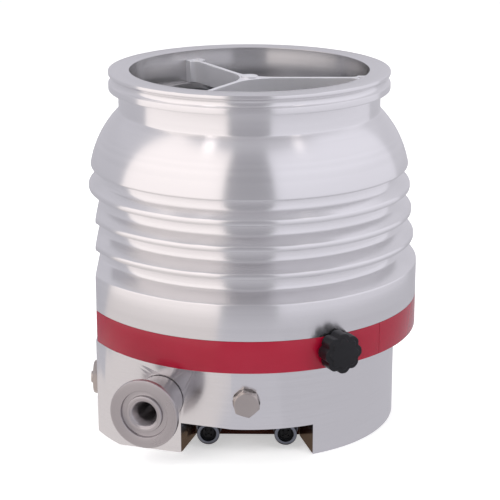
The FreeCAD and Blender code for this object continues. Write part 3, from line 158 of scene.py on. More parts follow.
# What polished metal sees between two azimuths: near floor, far floor, low wall, high wall
SURROUNDINGS = (
    ("front", -17.5, 17.5, COOL, 0.55, 0.40, 0.38, 0.38),
    ("right_front", 17.5, 125.0, COOL, 0.52, 0.74, 0.80, 0.85),
    ("right_back", 125.0, 170.0, COOL, 0.50, 0.55, 0.62, 0.66),
    ("back", 170.0, 195.0, COOL, 0.42, 0.50, 0.57, 0.60),
    ("left_back", 195.0, 262.0, COOL, 0.50, 0.52, 0.56, 0.60),
    ("left_front", 262.0, 342.5, WARM, 0.66, 1.00, 1.06, 1.10),
)


def outwards(azimuth):
    """Level direction that points away from the pump axis; 0 is the front, -Y."""
    angle = math.radians(azimuth)
    return Vector((math.sin(angle), -math.cos(angle), 0))


def sideways(azimuth):
    """Level direction to the right of the outward one, seen from outside."""
    angle = math.radians(azimuth)
    return Vector((math.cos(angle), math.sin(angle), 0))


def place(azimuth, distance, offset, level):
    """Point at a distance along an azimuth, shifted sideways, at a level; in metres."""
    return (outwards(azimuth) * distance + sideways(azimuth) * offset + UP * level) * MM


def deselect():
    if bpy.context.object and bpy.context.object.mode != "OBJECT":
        bpy.ops.object.mode_set(mode="OBJECT")
    bpy.ops.object.select_all(action="DESELECT")


def select_only(piece):
    deselect()
    piece.select_set(True)
    bpy.context.view_layer.objects.active = piece


def settle():
    """Set the place, turn and scale of the chosen piece in its mesh."""
    bpy.ops.object.transform_apply(location=True, rotation=True, scale=True)


def smooth(piece, angle=SMOOTH_ANGLE):
    """Shade a piece smooth, but for its edges that are sharper than the angle."""
    select_only(piece)
    bpy.ops.object.shade_smooth_by_angle(angle=math.radians(angle))


def new_piece(name):
    """Name the primitive that was just added and open it in edit mode."""
    piece = bpy.context.object
    piece.name = name
    piece.data.name = name
    settle()
    bpy.ops.object.mode_set(mode="EDIT")
    bpy.ops.mesh.select_mode(type="VERT")
    return piece


def pick(kind, test):
    """Select the vertices, edges or faces of the open piece that pass a test."""
    bpy.ops.mesh.select_mode(type=kind)
    bpy.ops.mesh.select_all(action="DESELECT")
    data = bpy.context.object.data
    mesh = bmesh.from_edit_mesh(data)
    items = {"VERT": mesh.verts, "EDGE": mesh.edges, "FACE": mesh.faces}[kind]
    for item in items:
        if test(item):
            item.select_set(True)
    mesh.select_flush_mode()
    bmesh.update_edit_mesh(data)


def corner_at(point):
    point = Vector(point)
    return lambda vertex: (vertex.co - point).length < 2e-6


def close_piece(piece):
    """Merge doubles, turn the faces outwards, leave edit mode and smooth the shading."""
    bpy.ops.mesh.select_all(action="SELECT")
    bpy.ops.mesh.remove_doubles(threshold=1e-6)
    bpy.ops.mesh.normals_make_consistent(inside=False)
    bpy.ops.object.mode_set(mode="OBJECT")
    bpy.ops.object.shade_smooth_by_angle(angle=math.radians(SMOOTH_ANGLE))
    return piece


def draw_line(name, points):
    """Start a piece as a line that runs from point to point; points in metres."""
    deselect()
    bpy.ops.mesh.primitive_plane_add(size=MM, location=points[0])
    piece = new_piece(name)
    bpy.ops.mesh.select_all(action="SELECT")
    bpy.ops.mesh.merge(type="CENTER")
    for before, after in zip(points, points[1:]):
        bpy.ops.mesh.extrude_region_move(TRANSFORM_OT_translate={"value": after - before})
    return piece


def turned(name, outline, centre=(0, 0, 0), axis=UP, side=(1, 0, 0), steps=192, closed=True):
    """Spin an outline of (radius, height) or (radius, height, rounding) about an axis."""
    centre, axis, side = Vector(centre), Vector(axis).normalized(), Vector(side).normalized()
    points = [centre + (side * p[0] + axis * p[1]) * MM for p in outline]
    piece = draw_line(name, points)
    if closed:
        ends = [corner_at(points[0]), corner_at(points[-1])]
        pick("VERT", lambda v: ends[0](v) or ends[1](v))
        bpy.ops.mesh.edge_face_add()
    for rounding in sorted({p[2] for p in outline if len(p) > 2}):
        corners = [
            corner_at(point) for point, p in zip(points, outline)
            if len(p) > 2 and p[2] == rounding
        ]
        pick("VERT", lambda v: any(corner(v) for corner in corners))
        bpy.ops.mesh.bevel(offset=rounding * MM, segments=3, affect="VERTICES")
    bpy.ops.mesh.select_mode(type="VERT")
    bpy.ops.mesh.select_all(action="SELECT")
    bpy.ops.mesh.spin(steps=steps, angle=FULL_TURN, center=centre, axis=axis)
    return close_piece(piece)


def curve_between(start, end, bulge, count):
    """Points of an arc from start to end whose middle stands out by the bulge."""
    chord = Vector((end[0] - start[0], end[1] - start[1]))
    half = chord.length / 2
    radius = (half ** 2 + bulge ** 2) / (2 * bulge)
    out = Vector((chord.y, -chord.x)).normalized()
    centre = Vector(start) + chord / 2 - out * (radius - bulge)
    first = Vector(start) - centre
    sweep = 2 * math.asin(half / radius)
    points = []
    for step in range(count + 1):
        turn = sweep * step / count
        c, s = math.cos(turn), math.sin(turn)
        points.append((centre.x + first.x * c - first.y * s, centre.y + first.x * s + first.y * c))
    return points


def plate(name, points, low, high):
    """Draw a closed outline of (x, y) points point by point, fill it and pull it up."""
    piece = draw_line(name, [Vector((x, y, low)) * MM for x, y in points])
    bpy.ops.mesh.select_all(action="SELECT")
    bpy.ops.mesh.edge_face_add()
    rise = UP * (high - low) * MM
    bpy.ops.mesh.extrude_region_move(TRANSFORM_OT_translate={"value": rise})
    return close_piece(piece)


def turn_round(piece, turn):
    """Turn a piece round the pump axis, in degrees."""
    select_only(piece)
    piece.rotation_mode = "XYZ"
    piece.rotation_euler = (0, 0, math.radians(turn))
    settle()
    return piece


def copied(piece, name, turn):
    """Copy of a piece with its own mesh, turned round the pump axis."""
    select_only(piece)
    bpy.ops.object.duplicate(linked=False)
    twin = bpy.context.object
    twin.name = name
    twin.data.name = name
    return turn_round(twin, turn)


def joined(name, pieces):
    """Join loose pieces into one object."""
    deselect()
    for piece in pieces:
        piece.select_set(True)
    bpy.context.view_layer.objects.active = pieces[0]
    bpy.ops.object.join()
    pieces[0].name = name
    pieces[0].data.name = name
    return pieces[0]


def apply_modifier(piece, kind, **settings):
    select_only(piece)
    modifier = piece.modifiers.new(kind.lower(), kind)
    for key, value in settings.items():
        setattr(modifier, key, value)
    bpy.ops.object.modifier_apply(modifier=modifier.name)


def carve(piece, tools, operation="DIFFERENCE"):
    """Cut tool pieces out of a piece, or join them on, and drop the tools."""
    for tool in tools:
        apply_modifier(piece, "BOOLEAN", operation=operation, solver="EXACT", object=tool)
        bpy.data.objects.remove(tool)
    return piece


def block(name, low, high, turn=0.0):
    """A block between two corners in millimetres, turned round the pump axis."""
    low, high = Vector(low) * MM, Vector(high) * MM
    deselect()
    bpy.ops.mesh.primitive_cube_add(size=1, location=(low + high) / 2)
    bpy.context.object.scale = high - low
    return turn_round(new_piece(name), turn)


def rod(name, radius, start, direction, length, sides=64, turn=0.0):
    """A round or many-sided bar from a point in metres along a direction; sizes in mm."""
    direction = Vector(direction).normalized()
    middle = Vector(start) + direction * length * MM / 2
    deselect()
    bpy.ops.mesh.primitive_cylinder_add(
        vertices=sides, radius=radius * MM, depth=length * MM, location=middle,
    )
    piece = bpy.context.object
    spin = Matrix.Rotation(math.radians(turn), 3, "Z").to_quaternion()
    piece.rotation_mode = "QUATERNION"
    piece.rotation_quaternion = direction.to_track_quat("Z", "Y") @ spin
    piece = new_piece(name)
    bpy.ops.object.mode_set(mode="OBJECT")
    return piece


def soften(piece, width, angle=35.0):
    """Break the sharp edges of a piece with a small bevel."""
    apply_modifier(
        piece, "BEVEL", width=width * MM, segments=2, limit_method="ANGLE",
        angle_limit=math.radians(angle), use_clamp_overlap=True, harden_normals=False,
    )
    smooth(piece)
    return piece


def new_material(name):
    material = bpy.data.materials.new(name)
    material.use_nodes = True
    nodes = material.node_tree.nodes
    return material, nodes, material.node_tree.links, nodes["Principled BSDF"]


def set_sockets(shader, **values):
    """Set shader sockets, named with _ for a space, to plain values."""
    for name, value in values.items():
        shader.inputs[name.replace("_", " ")].default_value = value


def noise(nodes, links, vector, scale, detail):
    texture = nodes.new("ShaderNodeTexNoise")
    texture.inputs["Scale"].default_value = scale
    texture.inputs["Detail"].default_value = detail
    links.new(vector, texture.inputs["Vector"])
    return texture.outputs["Fac"]


def remap(nodes, links, value, low, high, from_low=0.3, from_high=0.7):
    """Stretch a noise value to a range."""
    node = nodes.new("ShaderNodeMapRange")
    node.inputs["From Min"].default_value = from_low
    node.inputs["From Max"].default_value = from_high
    node.inputs["To Min"].default_value = low
    node.inputs["To Max"].default_value = high
    links.new(value, node.inputs["Value"])
    return node.outputs["Result"]


def vector_step(nodes, links, operation, value, other=None):
    """One step of vector arithmetic, with a fixed second vector."""
    node = nodes.new("ShaderNodeVectorMath")
    node.operation = operation
    links.new(value, node.inputs[0])
    if other is not None:
        node.inputs[1].default_value = other
    return node


def tinted(nodes, links, value, dark, light):
    """Colour between a dark and a light one."""
    ramp = nodes.new("ShaderNodeValToRGB")
    ramp.color_ramp.elements[0].position = 0.3
    ramp.color_ramp.elements[1].position = 0.7
    ramp.color_ramp.elements[0].color = (*dark, 1)
    ramp.color_ramp.elements[1].color = (*light, 1)
    links.new(value, ramp.inputs["Fac"])
    return ramp.outputs["Color"]


def bumped(nodes, links, shader, value, distance):
    bump = nodes.new("ShaderNodeBump")
    bump.inputs["Distance"].default_value = distance
    bump.inputs["Strength"].default_value = 1.0
    links.new(value, bump.inputs["Height"])
    links.new(bump.outputs["Normal"], shader.inputs["Normal"])


def turned_metal(name, dark, light, roughness, spread, centre=(0, 0, 0), axis=UP, bore=0.0):
    """Lathe-turned metal: fine rings about an axis, and soft stretched highlights.

    Nearer to the axis than the bore, the colour is darkened as painted shade on the wall inside
    the inlet.
    """
    material, nodes, links, shader = new_material(name)
    position = nodes.new("ShaderNodeTexCoord").outputs["Object"]
    from_centre = vector_step(nodes, links, "SUBTRACT", position, Vector(centre)).outputs["Vector"]
    along = vector_step(nodes, links, "DOT_PRODUCT", from_centre, Vector(axis)).outputs["Value"]
    around = nodes.new("ShaderNodeVectorMath")
    around.operation = "CROSS_PRODUCT"
    around.inputs[0].default_value = Vector(axis)
    links.new(from_centre, around.inputs[1])
    around = around.outputs["Vector"]
    distance = vector_step(nodes, links, "LENGTH", around).outputs["Value"]
    flat = nodes.new("ShaderNodeCombineXYZ")
    links.new(distance, flat.inputs["X"])
    links.new(along, flat.inputs["Y"])
    rings = noise(nodes, links, flat.outputs["Vector"], RING_SCALE, 3.0)
    bands = noise(nodes, links, flat.outputs["Vector"], BAND_SCALE, 2.0)
    smudges = noise(nodes, links, position, SMUDGE_SCALE, 3.0)
    # Painted shade: the colour is scaled down nearer to the axis than the bore
    inside = nodes.new("ShaderNodeMath")
    inside.operation = "LESS_THAN"
    inside.inputs[1].default_value = bore
    links.new(distance, inside.inputs[0])
    bore_shaded = vector_step(nodes, links, "SCALE", tinted(nodes, links, bands, dark, light))
    shade = remap(nodes, links, inside.outputs["Value"], 1.0, BORE_SHADE, 0.0, 1.0)
    links.new(shade, bore_shaded.inputs["Scale"])
    links.new(bore_shaded.outputs["Vector"], shader.inputs["Base Color"])
    both = nodes.new("ShaderNodeMath")
    both.operation = "MULTIPLY_ADD"
    links.new(bands, both.inputs[0])
    both.inputs[1].default_value = 0.5
    links.new(smudges, both.inputs[2])
    low, high = roughness - spread, roughness + spread
    rough = remap(nodes, links, both.outputs["Value"], low, high, 0.5, 1.0)
    links.new(rough, shader.inputs["Roughness"])
    bumped(nodes, links, shader, rings, RING_DEPTH)
    links.new(around, shader.inputs["Tangent"])
    set_sockets(shader, Metallic=1.0, Anisotropic=0.75, Anisotropic_Rotation=0.25)
    return material


def milled_metal(
    name, dark, light, roughness, spread, grain=(60, 60, 1400), depth=0.000006,
    streaked=False, metallic=1.0,
):
    """Machined or brushed metal with straight fine lines, which tint it where streaked."""
    material, nodes, links, shader = new_material(name)
    position = nodes.new("ShaderNodeTexCoord").outputs["Object"]
    stretched = vector_step(nodes, links, "MULTIPLY", position, grain).outputs["Vector"]
    lines = noise(nodes, links, stretched, 1.0, 3.0)
    patches = noise(nodes, links, position, 25.0, 3.0)
    tone = lines if streaked else patches
    links.new(tinted(nodes, links, tone, dark, light), shader.inputs["Base Color"])
    rough = remap(nodes, links, lines, roughness - spread, roughness + spread)
    links.new(rough, shader.inputs["Roughness"])
    bumped(nodes, links, shader, lines, depth)
    set_sockets(shader, Metallic=metallic)
    return material


def moulded(name, dark, light, roughness, spread, scale=900.0, depth=0.00003, coat=0.0):
    """Plastic, rubber or paint with a fine uneven skin."""
    material, nodes, links, shader = new_material(name)
    position = nodes.new("ShaderNodeTexCoord").outputs["Object"]
    skin = noise(nodes, links, position, scale, 2.0)
    patches = noise(nodes, links, position, 30.0, 3.0)
    links.new(tinted(nodes, links, patches, dark, light), shader.inputs["Base Color"])
    rough = remap(nodes, links, patches, roughness - spread, roughness + spread)
    links.new(rough, shader.inputs["Roughness"])
    bumped(nodes, links, shader, skin, depth)
    set_sockets(shader, Specular_IOR_Level=0.35, Coat_Weight=coat, Coat_Roughness=0.12)
    return material


PORT_CENTRE = place(PORT_AZIMUTH, PORT_FLAT, PORT_OFFSET, PORT_LEVEL)
# The housing gets painted shade on the wall inside its inlet
HOUSING_METAL = turned_metal(
    "turned_housing_metal", (0.855, 0.85, 0.855), (0.885, 0.88, 0.885), 0.23, 0.02,
    bore=SHADED_BORE_RADIUS,
)
BASE_METAL = milled_metal(
    "machined_base_metal", (0.87, 0.865, 0.87), (0.905, 0.90, 0.905), 0.20, 0.03,
    (16, 16, 1300), 0.0000005, streaked=True,
)
STAR_METAL = milled_metal(
    "star_metal", (0.86, 0.86, 0.885), (0.91, 0.91, 0.935), 0.42, 0.05,
    (700, 700, 25), 0.000003, metallic=0.75,
)
ROTOR_METAL = milled_metal("blade_metal", (0.40, 0.41, 0.42), (0.50, 0.51, 0.52), 0.32, 0.06)
STEEL = milled_metal("screw_steel", (0.36, 0.35, 0.345), (0.46, 0.45, 0.44), 0.32, 0.06)
PLUG_METAL = milled_metal(
    "plug_steel", (0.51, 0.46, 0.43), (0.59, 0.54, 0.505), 0.34, 0.05, (900, 900, 900),
)
PORT_METAL = turned_metal(
    "turned_port_steel", (0.50, 0.475, 0.485), (0.57, 0.545, 0.555), 0.30, 0.04,
    PORT_CENTRE, outwards(PORT_AZIMUTH),
)
SOCKET_METAL = milled_metal(
    "socket_metal", (0.20, 0.215, 0.245), (0.28, 0.295, 0.33), 0.42, 0.06, (400, 400, 400),
)
MAGNET = milled_metal("magnet_metal", (0.10, 0.10, 0.105), (0.16, 0.16, 0.165), 0.4, 0.08)
BRASS = milled_metal("brass_metal", (0.55, 0.40, 0.18), (0.66, 0.50, 0.24), 0.3, 0.06)
COPPER = milled_metal(
    "winding_copper", (0.45, 0.20, 0.10), (0.60, 0.30, 0.16), 0.35, 0.08, (200, 200, 1600),
)
BAND_RED = moulded(
    "band_red", (0.385, 0.003, 0.026), (0.415, 0.005, 0.032), 0.24, 0.04, 600.0, 0.000006, 0.35,
)
RUBBER = moulded("seal_rubber", (0.012, 0.012, 0.013), (0.022, 0.022, 0.023), 0.55, 0.08)
KNOB_PLASTIC = moulded("knob_plastic", (0.006, 0.006, 0.008), (0.011, 0.011, 0.014), 0.40, 0.06)
BLACK_PLASTIC = moulded(
    "insert_plastic", (0.0035, 0.0035, 0.004), (0.006, 0.006, 0.0065), 0.50, 0.06,
)
CARBON = moulded(
    "carbon_sleeve", (0.012, 0.012, 0.014), (0.030, 0.030, 0.033), 0.35, 0.08, 300.0,
)
CAGE_PLASTIC = moulded("cage_plastic", (0.22, 0.10, 0.04), (0.30, 0.15, 0.06), 0.5, 0.08)
FELT = moulded("felt", (0.50, 0.47, 0.38), (0.66, 0.62, 0.52), 0.9, 0.05, 1500.0, 0.0002)
BOARD = moulded("board_brown", (0.060, 0.010, 0.004), (0.095, 0.020, 0.007), 0.60, 0.08, 300.0)

CAD_MATERIALS = {
    "base_metal": BASE_METAL, "housing_metal": HOUSING_METAL, "star_metal": STAR_METAL,
    "rotor_metal": ROTOR_METAL, "stator_metal": ROTOR_METAL, "shaft_steel": STEEL,
    "screw_steel": STEEL, "port_steel": PORT_METAL, "plug_steel": PLUG_METAL,
    "socket_metal": SOCKET_METAL, "magnet": MAGNET, "bearing_steel": STEEL,
    "brass_metal": BRASS, "carbon_sleeve": CARBON, "cage_plastic": CAGE_PLASTIC,
    "seal_rubber": RUBBER, "felt": FELT, "winding": COPPER, "core_steel": MAGNET,
    "knob_plastic": KNOB_PLASTIC, "insert_plastic": BLACK_PLASTIC, "board": BOARD,
    "cap_plastic": BLACK_PLASTIC, "band_red": BAND_RED,
}


def dress(piece, material, body, node):
    """Give a new piece its material and body, and hide the node that it stands for."""
    piece.data.materials.clear()
    piece.data.materials.append(material)
    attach(piece, body)
    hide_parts(node)
    return piece


def dress_nodes():
    """Give every node of the construction the material of its slot."""
    for part in frame["record"]["subparts"]:
        node = frame["nodes"][part["node"]]
        node.data.materials.clear()
        node.data.materials.append(CAD_MATERIALS[part["material_slot"]])


def groove(floor, rim, rim_floor):
    """Sloping floor, wall and rim of one groove, with their roundings."""
    return [
        (GROOVE_RADIUS, floor + 5.2, 2.4), (GROOVE_RADIUS, rim_floor, 0.5), (rim, rim_floor, 1.0),
    ]


def cut_for_band(piece, top, hole_radius, more=()):
    """Mill the left flat of a ring round the body and drill it for the vent valve."""
    side = block("side_mill", (-130, -110, 61), (-HOUSING_FLAT, 110, top))
    start = place(VENT_AZIMUTH, 92, 0, VENT_LEVEL)
    hole = rod("vent_drill", hole_radius, start, outwards(VENT_AZIMUTH), 20)
    carve(piece, [side, hole, *more])
    smooth(piece)


def make_housing():
    outline = [
        (STACK_RADIUS, BASE_TOP), (BAND_SEAT_RADIUS, BASE_TOP), (BAND_SEAT_RADIUS, BAND_TOP),
        (BODY_RADIUS, BAND_TOP, 0.2), (BODY_RADIUS, BODY_TOP, 0.6),
    ]
    floor = BODY_TOP
    for tip, level in FIN_TIPS:
        outline += groove(floor, tip, level - 3.4) + [(tip, level, 0.9)]
        floor = level
    outline += groove(floor, SHOULDER_RADIUS, 167.4)
    shoulder = curve_between((SHOULDER_RADIUS, SHOULDER_FOOT), (NECK_RADIUS, NECK_FOOT), 3.0, 16)
    outline += shoulder[:-1] + [(NECK_RADIUS, NECK_FOOT, 0.4)]
    rim_groove = curve_between((FLANGE_RADIUS, 220.7), (FLANGE_RADIUS, 226.3), -2.0, 8)
    outline += [
        (NECK_RADIUS, FLANGE_BOTTOM, 0.8), (FLANGE_RADIUS, FLANGE_BOTTOM, 0.6),
        (FLANGE_RADIUS, 220.7, 0.25),
    ]
    outline += rim_groove[1:-1] + [(FLANGE_RADIUS, 226.3, 0.25)]
    outline += [
        (FLANGE_RADIUS, FLANGE_TOP, 0.5), (INLET_EDGE, FLANGE_TOP, 0.35),
        (INLET_EDGE, 226.5, 3.0), (INLET_BORE, 216.0, 3.0), (INLET_BORE, LEDGE_TOP),
        (LEDGE_RADIUS, LEDGE_TOP, 0.3), (LEDGE_RADIUS, LEDGE_BOTTOM), (STACK_RADIUS, LEDGE_BOTTOM),
    ]
    piece = turned("turned_housing", outline, steps=256)
    cut_for_band(piece, 148, 6.05)
    return dress(piece, HOUSING_METAL, "pump", "housing")


def make_band():
    piece = turned("red_band", [
        (108.75, 62.1), (BAND_RADIUS, 62.1, 0.15), (BAND_RADIUS, 82.4, 0.15), (108.75, 82.4),
    ], steps=256)
    seam = block("seam_knife", (-0.15, -120, 61), (0.15, 0, 90), SEAM_AZIMUTH)
    cut_for_band(piece, 90, 6.4, [seam])
    return dress(piece, BAND_RED, "pump", "marking_band")


def make_port():
    """Clamped flange on its tube: spigot, tube, flange with taper, recess, and bore."""
    piece = turned("turned_port", [
        (PORT_BORE, -12.0), (PORT_SPIGOT, -12.0), (PORT_SPIGOT, 0.7), (PORT_TUBE, 1.2),
        (PORT_TUBE, 25.0, 0.6), (PORT_FLANGE, 27.0, 0.3), (PORT_FLANGE, PORT_LENGTH, 0.5),
        (15.0, PORT_LENGTH, 0.5), (15.0, 27.5, 0.4), (11.6, 27.5, 0.4), (11.6, 29.7, 0.6),
        (9.6, 29.7, 0.2), (9.2, 29.3, 0.2), (8.3, 29.3, 1.0), (PORT_BORE, 24.0, 1.0),
        (PORT_BORE, 10.0),
    ], PORT_CENTRE, outwards(PORT_AZIMUTH), UP, 128)
    return dress(piece, PORT_METAL, "pump", "fore_vacuum_port")


def make_knob():
    """Lobed grip: a many-sided bar drawn in at each valley, with a raised middle."""
    axis = outwards(VENT_AZIMUTH)
    across = sideways(VENT_AZIMUTH)
    back = place(VENT_AZIMUTH, KNOB_SEAT, 0, VENT_LEVEL)
    piece = rod("lobed_knob", KNOB_RADIUS, back, axis, KNOB_LENGTH, 4 * KNOB_LOBES, 90)
    select_only(piece)
    bpy.ops.object.mode_set(mode="EDIT")

    def valley(vertex):
        out = vertex.co - back
        turn = math.atan2(out.dot(UP), out.dot(across))
        share = (turn / (FULL_TURN / KNOB_LOBES)) % 1.0
        return abs(share - 0.5) < 0.2

    pick("VERT", valley)
    bpy.ops.transform.resize(
        value=(KNOB_VALLEY, KNOB_VALLEY, 1), orient_type="GLOBAL",
        orient_matrix=axis.to_track_quat("Z", "Y").to_matrix(),
        orient_matrix_type="GLOBAL", center_override=back,
    )
    face = back + axis * KNOB_LENGTH * MM
    pick("FACE", lambda f: len(f.verts) > 6 and (f.calc_center_median() - face).length < MM)
    bpy.ops.mesh.inset(thickness=1.2 * MM)
    bpy.ops.mesh.inset(thickness=1.4 * MM)
    bpy.ops.mesh.extrude_region_move(TRANSFORM_OT_translate={"value": axis * 0.8 * MM})
    bpy.ops.mesh.inset(thickness=0.6 * MM)
    close_piece(piece)
    apply_modifier(
        piece, "BEVEL", width=0.5 * MM, segments=2, limit_method="ANGLE",
        angle_limit=math.radians(KNOB_ANGLE),
    )
    apply_modifier(piece, "SUBSURF", levels=2, render_levels=2)
    smooth(piece, KNOB_ANGLE)
    return dress(piece, KNOB_PLASTIC, "vent_knob", "vent_knob")


def foot_thread(azimuth):
    """Cutter for one threaded hole in the underside."""
    outline = [(0.5, 14.0)]
    for pitch in range(10):
        drop = pitch * THREAD_PITCH
        outline += [(3.9, 13.3 - drop), (3.3, 12.7 - drop)]
    outline += [(4.6, -0.3), (4.6, -1.0), (0.5, -1.0)]
    return turned("foot_thread", outline, outwards(azimuth) * FOOT_CIRCLE * MM, steps=40)


def make_base():
    body = rod("machined_base", BASE_RADIUS, (0, 0, 0), UP, BASE_TOP, 256)
    lobe = rod("lobe", BODY_RADIUS, (0, 0, 0), UP, BASE_TOP, 256)
    carve(lobe, [block("lobe_side", (-30, -130, -1), (130, 130, 64))])
    carve(body, [lobe], "UNION")
    cutters = [
        block("port_flat", (-200, -150, -1), (200, -PORT_FLAT, 64), PORT_AZIMUTH),
        block("rear_flat", (-200, -150, -1), (200, -PORT_FLAT, 64), 180 - PORT_AZIMUTH),
        block("left_flat", (-150, -150, -1), (-BASE_FLAT, 150, 64)),
    ]
    mouth = [(-BAY_HALF, BOARD_FACE), (BAY_HALF, BOARD_FACE), (48.25, -112), (-48.25, -112)]
    cutters += [
        turn_round(plate("bay", mouth, -1, BAY_TOP), FRONT_AZIMUTH),
        block("board_slot", (-BAY_HALF, -57.5, -1), (BAY_HALF, -55.1, BAY_TOP), FRONT_AZIMUTH),
        block("cover_recess", (-32.5, -55.5, -1), (32.5, -33.6, 2.8), FRONT_AZIMUTH),
        rod("cap_bore", 23.05, -UP * MM, UP, 7.3, 96),
    ]
    for azimuth in range(60, 360, 60):
        spot = outwards(azimuth) * BODY_SCREW_CIRCLE * MM
        cutters.append(rod("counterbore", 5.3, spot - UP * MM, UP, 51, 48))
    cutters += [foot_thread(azimuth) for azimuth in (45, 135, 225, 315)]
    port_out = outwards(PORT_AZIMUTH)
    front = outwards(FRONT_AZIMUTH)
    spotface = front * FRONT_SPOTFACE * MM + UP * FRONT_PLUG_LEVEL * MM
    cutters += [
        rod("port_seat", 14.7, PORT_CENTRE - port_out * 12.5 * MM, port_out, 13.5, 96),
        rod("port_channel", 8.3, PORT_CENTRE - port_out * 34 * MM, port_out, 24, 64),
        rod("spotface", 8.6, spotface, front, 6, 96),
    ]
    carve(body, cutters)
    soften(body, 0.45)
    return dress(body, BASE_METAL, "pump", "base")


def star_outline():
    """Outline of the three-armed star: pads at the wall, hollow curves round the hub."""
    half, flare, pad_half = 1.5, 4.0, 6.0
    hollow_radius, pad_start, pad_end = 29.0, 69.2, 75.5
    centre = (hollow_radius + half) / math.sin(math.pi / 3)
    pad_corner = math.sqrt(pad_end ** 2 - pad_half ** 2)
    third = []
    for step in range(7):
        turn = math.pi / 2 * step / 6
        x = pad_start - flare + flare * math.sin(turn)
        third.append((x, -half - flare * (1 - math.cos(turn))))
    flare_points = third[:]
    third += [(pad_start, -pad_half), (pad_corner, -pad_half)]
    for side in range(-2, 3):
        third.append((math.sqrt(pad_end ** 2 - (side * 2) ** 2), side * 2.0))
    third += [(pad_corner, pad_half), (pad_start, pad_half)]
    third += [(x, -y) for x, y in reversed(flare_points)]
    hollow = Vector((centre * 0.5, centre * math.sin(math.pi / 3)))
    first = math.atan2(half - hollow.y, centre / 2 - hollow.x)
    last = math.atan2(0.0 - hollow.y, 0.0 - hollow.x)
    sweep = 2 * ((last - first + math.pi) % FULL_TURN - math.pi)
    for step in range(25):
        turn = first + sweep * step / 24
        x, y = math.cos(turn), math.sin(turn)
        third.append((hollow.x + hollow_radius * x, hollow.y + hollow_radius * y))
    points = []
    for index in range(3):
        c, w = math.cos(index * FULL_TURN / 3), math.sin(index * FULL_TURN / 3)
        points += [(x * c - y * w, x * w + y * c) for x, y in third]
    return points


def make_star():
    star = plate("star", star_outline(), LEDGE_TOP, STAR_TOP)
    seats = []
    for azimuth in (90, 210, 330):
        spot = outwards(azimuth) * STAR_SCREW_CIRCLE * MM + UP * STAR_SCREW_SEAT * MM
        seats.append(rod("screw_seat", 2.6, spot, UP, 20, 40))
    carve(star, seats)
    soften(star, 0.35, 40.0)
    stem = turned("stem", [
        (6.5, 163.5), (8.0, 163.5), (8.0, 204.0), (13.0, 204.0, 0.3), (13.0, 208.2), (6.5, 208.2),
    ], steps=64)
    piece = joined("star", [star, stem])
    return dress(piece, STAR_METAL, "pump", "inlet_star")


def make_hub_cap():
    piece = turned("hub_cap_turned", [
        (0.0, STAR_TOP), (5.5, STAR_TOP), (5.5, 223.7, 0.4), (2.2, 223.7, 0.2), (2.0, 223.3, 0.2),
        (0.0, 223.3),
    ], steps=64, closed=False)
    return dress(piece, STAR_METAL, "pump", "hub_cap")


def make_cap_screw(name, foot, up, shank, length, head, height, socket):
    """Socket head screw whose head sits on foot and whose shank goes the other way."""
    up = Vector(up)
    side = Vector((1, 0, 0)) if abs(up.z) > 0.5 else UP
    outline = [(0.0, -length), (shank - 0.4, -length), (shank, -length + 0.4)]
    count = int(length / (shank * 0.35))
    for turn in range(1, count):
        level = -length + 0.4 + turn * (length - 0.8) / count
        outline.append((shank if turn % 2 else shank * 0.88, level))
    outline += [(shank, 0.0), (head, 0.0), (head, height, 0.3), (0.0, height)]
    screw = turned(name, outline, foot, up, side, 36, closed=False)
    bottom = Vector(foot) + up * height * 0.35 * MM
    carve(screw, [rod("key_socket", socket / math.sqrt(3), bottom, up, height, 6)])
    smooth(screw)
    return screw


def make_screws():
    spot = outwards(90) * STAR_SCREW_CIRCLE * MM + UP * STAR_SCREW_SEAT * MM
    first = make_cap_screw("star_screw_1", spot, UP, 1.5, 8.7, 2.3, 3.0, 2.5)
    others = [copied(first, "star_screw_%d" % (n + 1), n * 120) for n in (1, 2)]
    screws = joined("star_screws", [first] + others)
    dress(screws, STEEL, "pump", "inlet_star_screws")
    spot = outwards(60) * BODY_SCREW_CIRCLE * MM + UP * BODY_SCREW_SEAT * MM
    first = make_cap_screw("body_screw_1", spot, -UP, 3.0, 24.0, 5.0, 6.0, 5.0)
    others = [copied(first, "body_screw_%d" % (n + 1), n * 60) for n in range(1, 5)]
    screws = joined("body_screws", [first] + others)
    dress(screws, STEEL, "pump", "housing_screws")


def hex_head(name, flats, seat, top, azimuth, level, turn, drop):
    """Hexagonal head with chamfered corners on a radial axis."""
    out = outwards(azimuth)
    foot = out * seat * MM + UP * level * MM
    reach = top - seat
    head = rod(name, flats / math.sqrt(3), foot, out, reach, 6, turn)
    form = turned("head_form", [
        (0.0, -1.0), (flats * 0.7, -1.0), (flats * 0.7, reach - drop - flats * 0.12),
        (flats * 0.48, reach), (0.0, reach),
    ], foot, out, UP, 96, closed=False)
    carve(head, [form], "INTERSECT")
    soften(head, 0.25, 25.0)
    return head


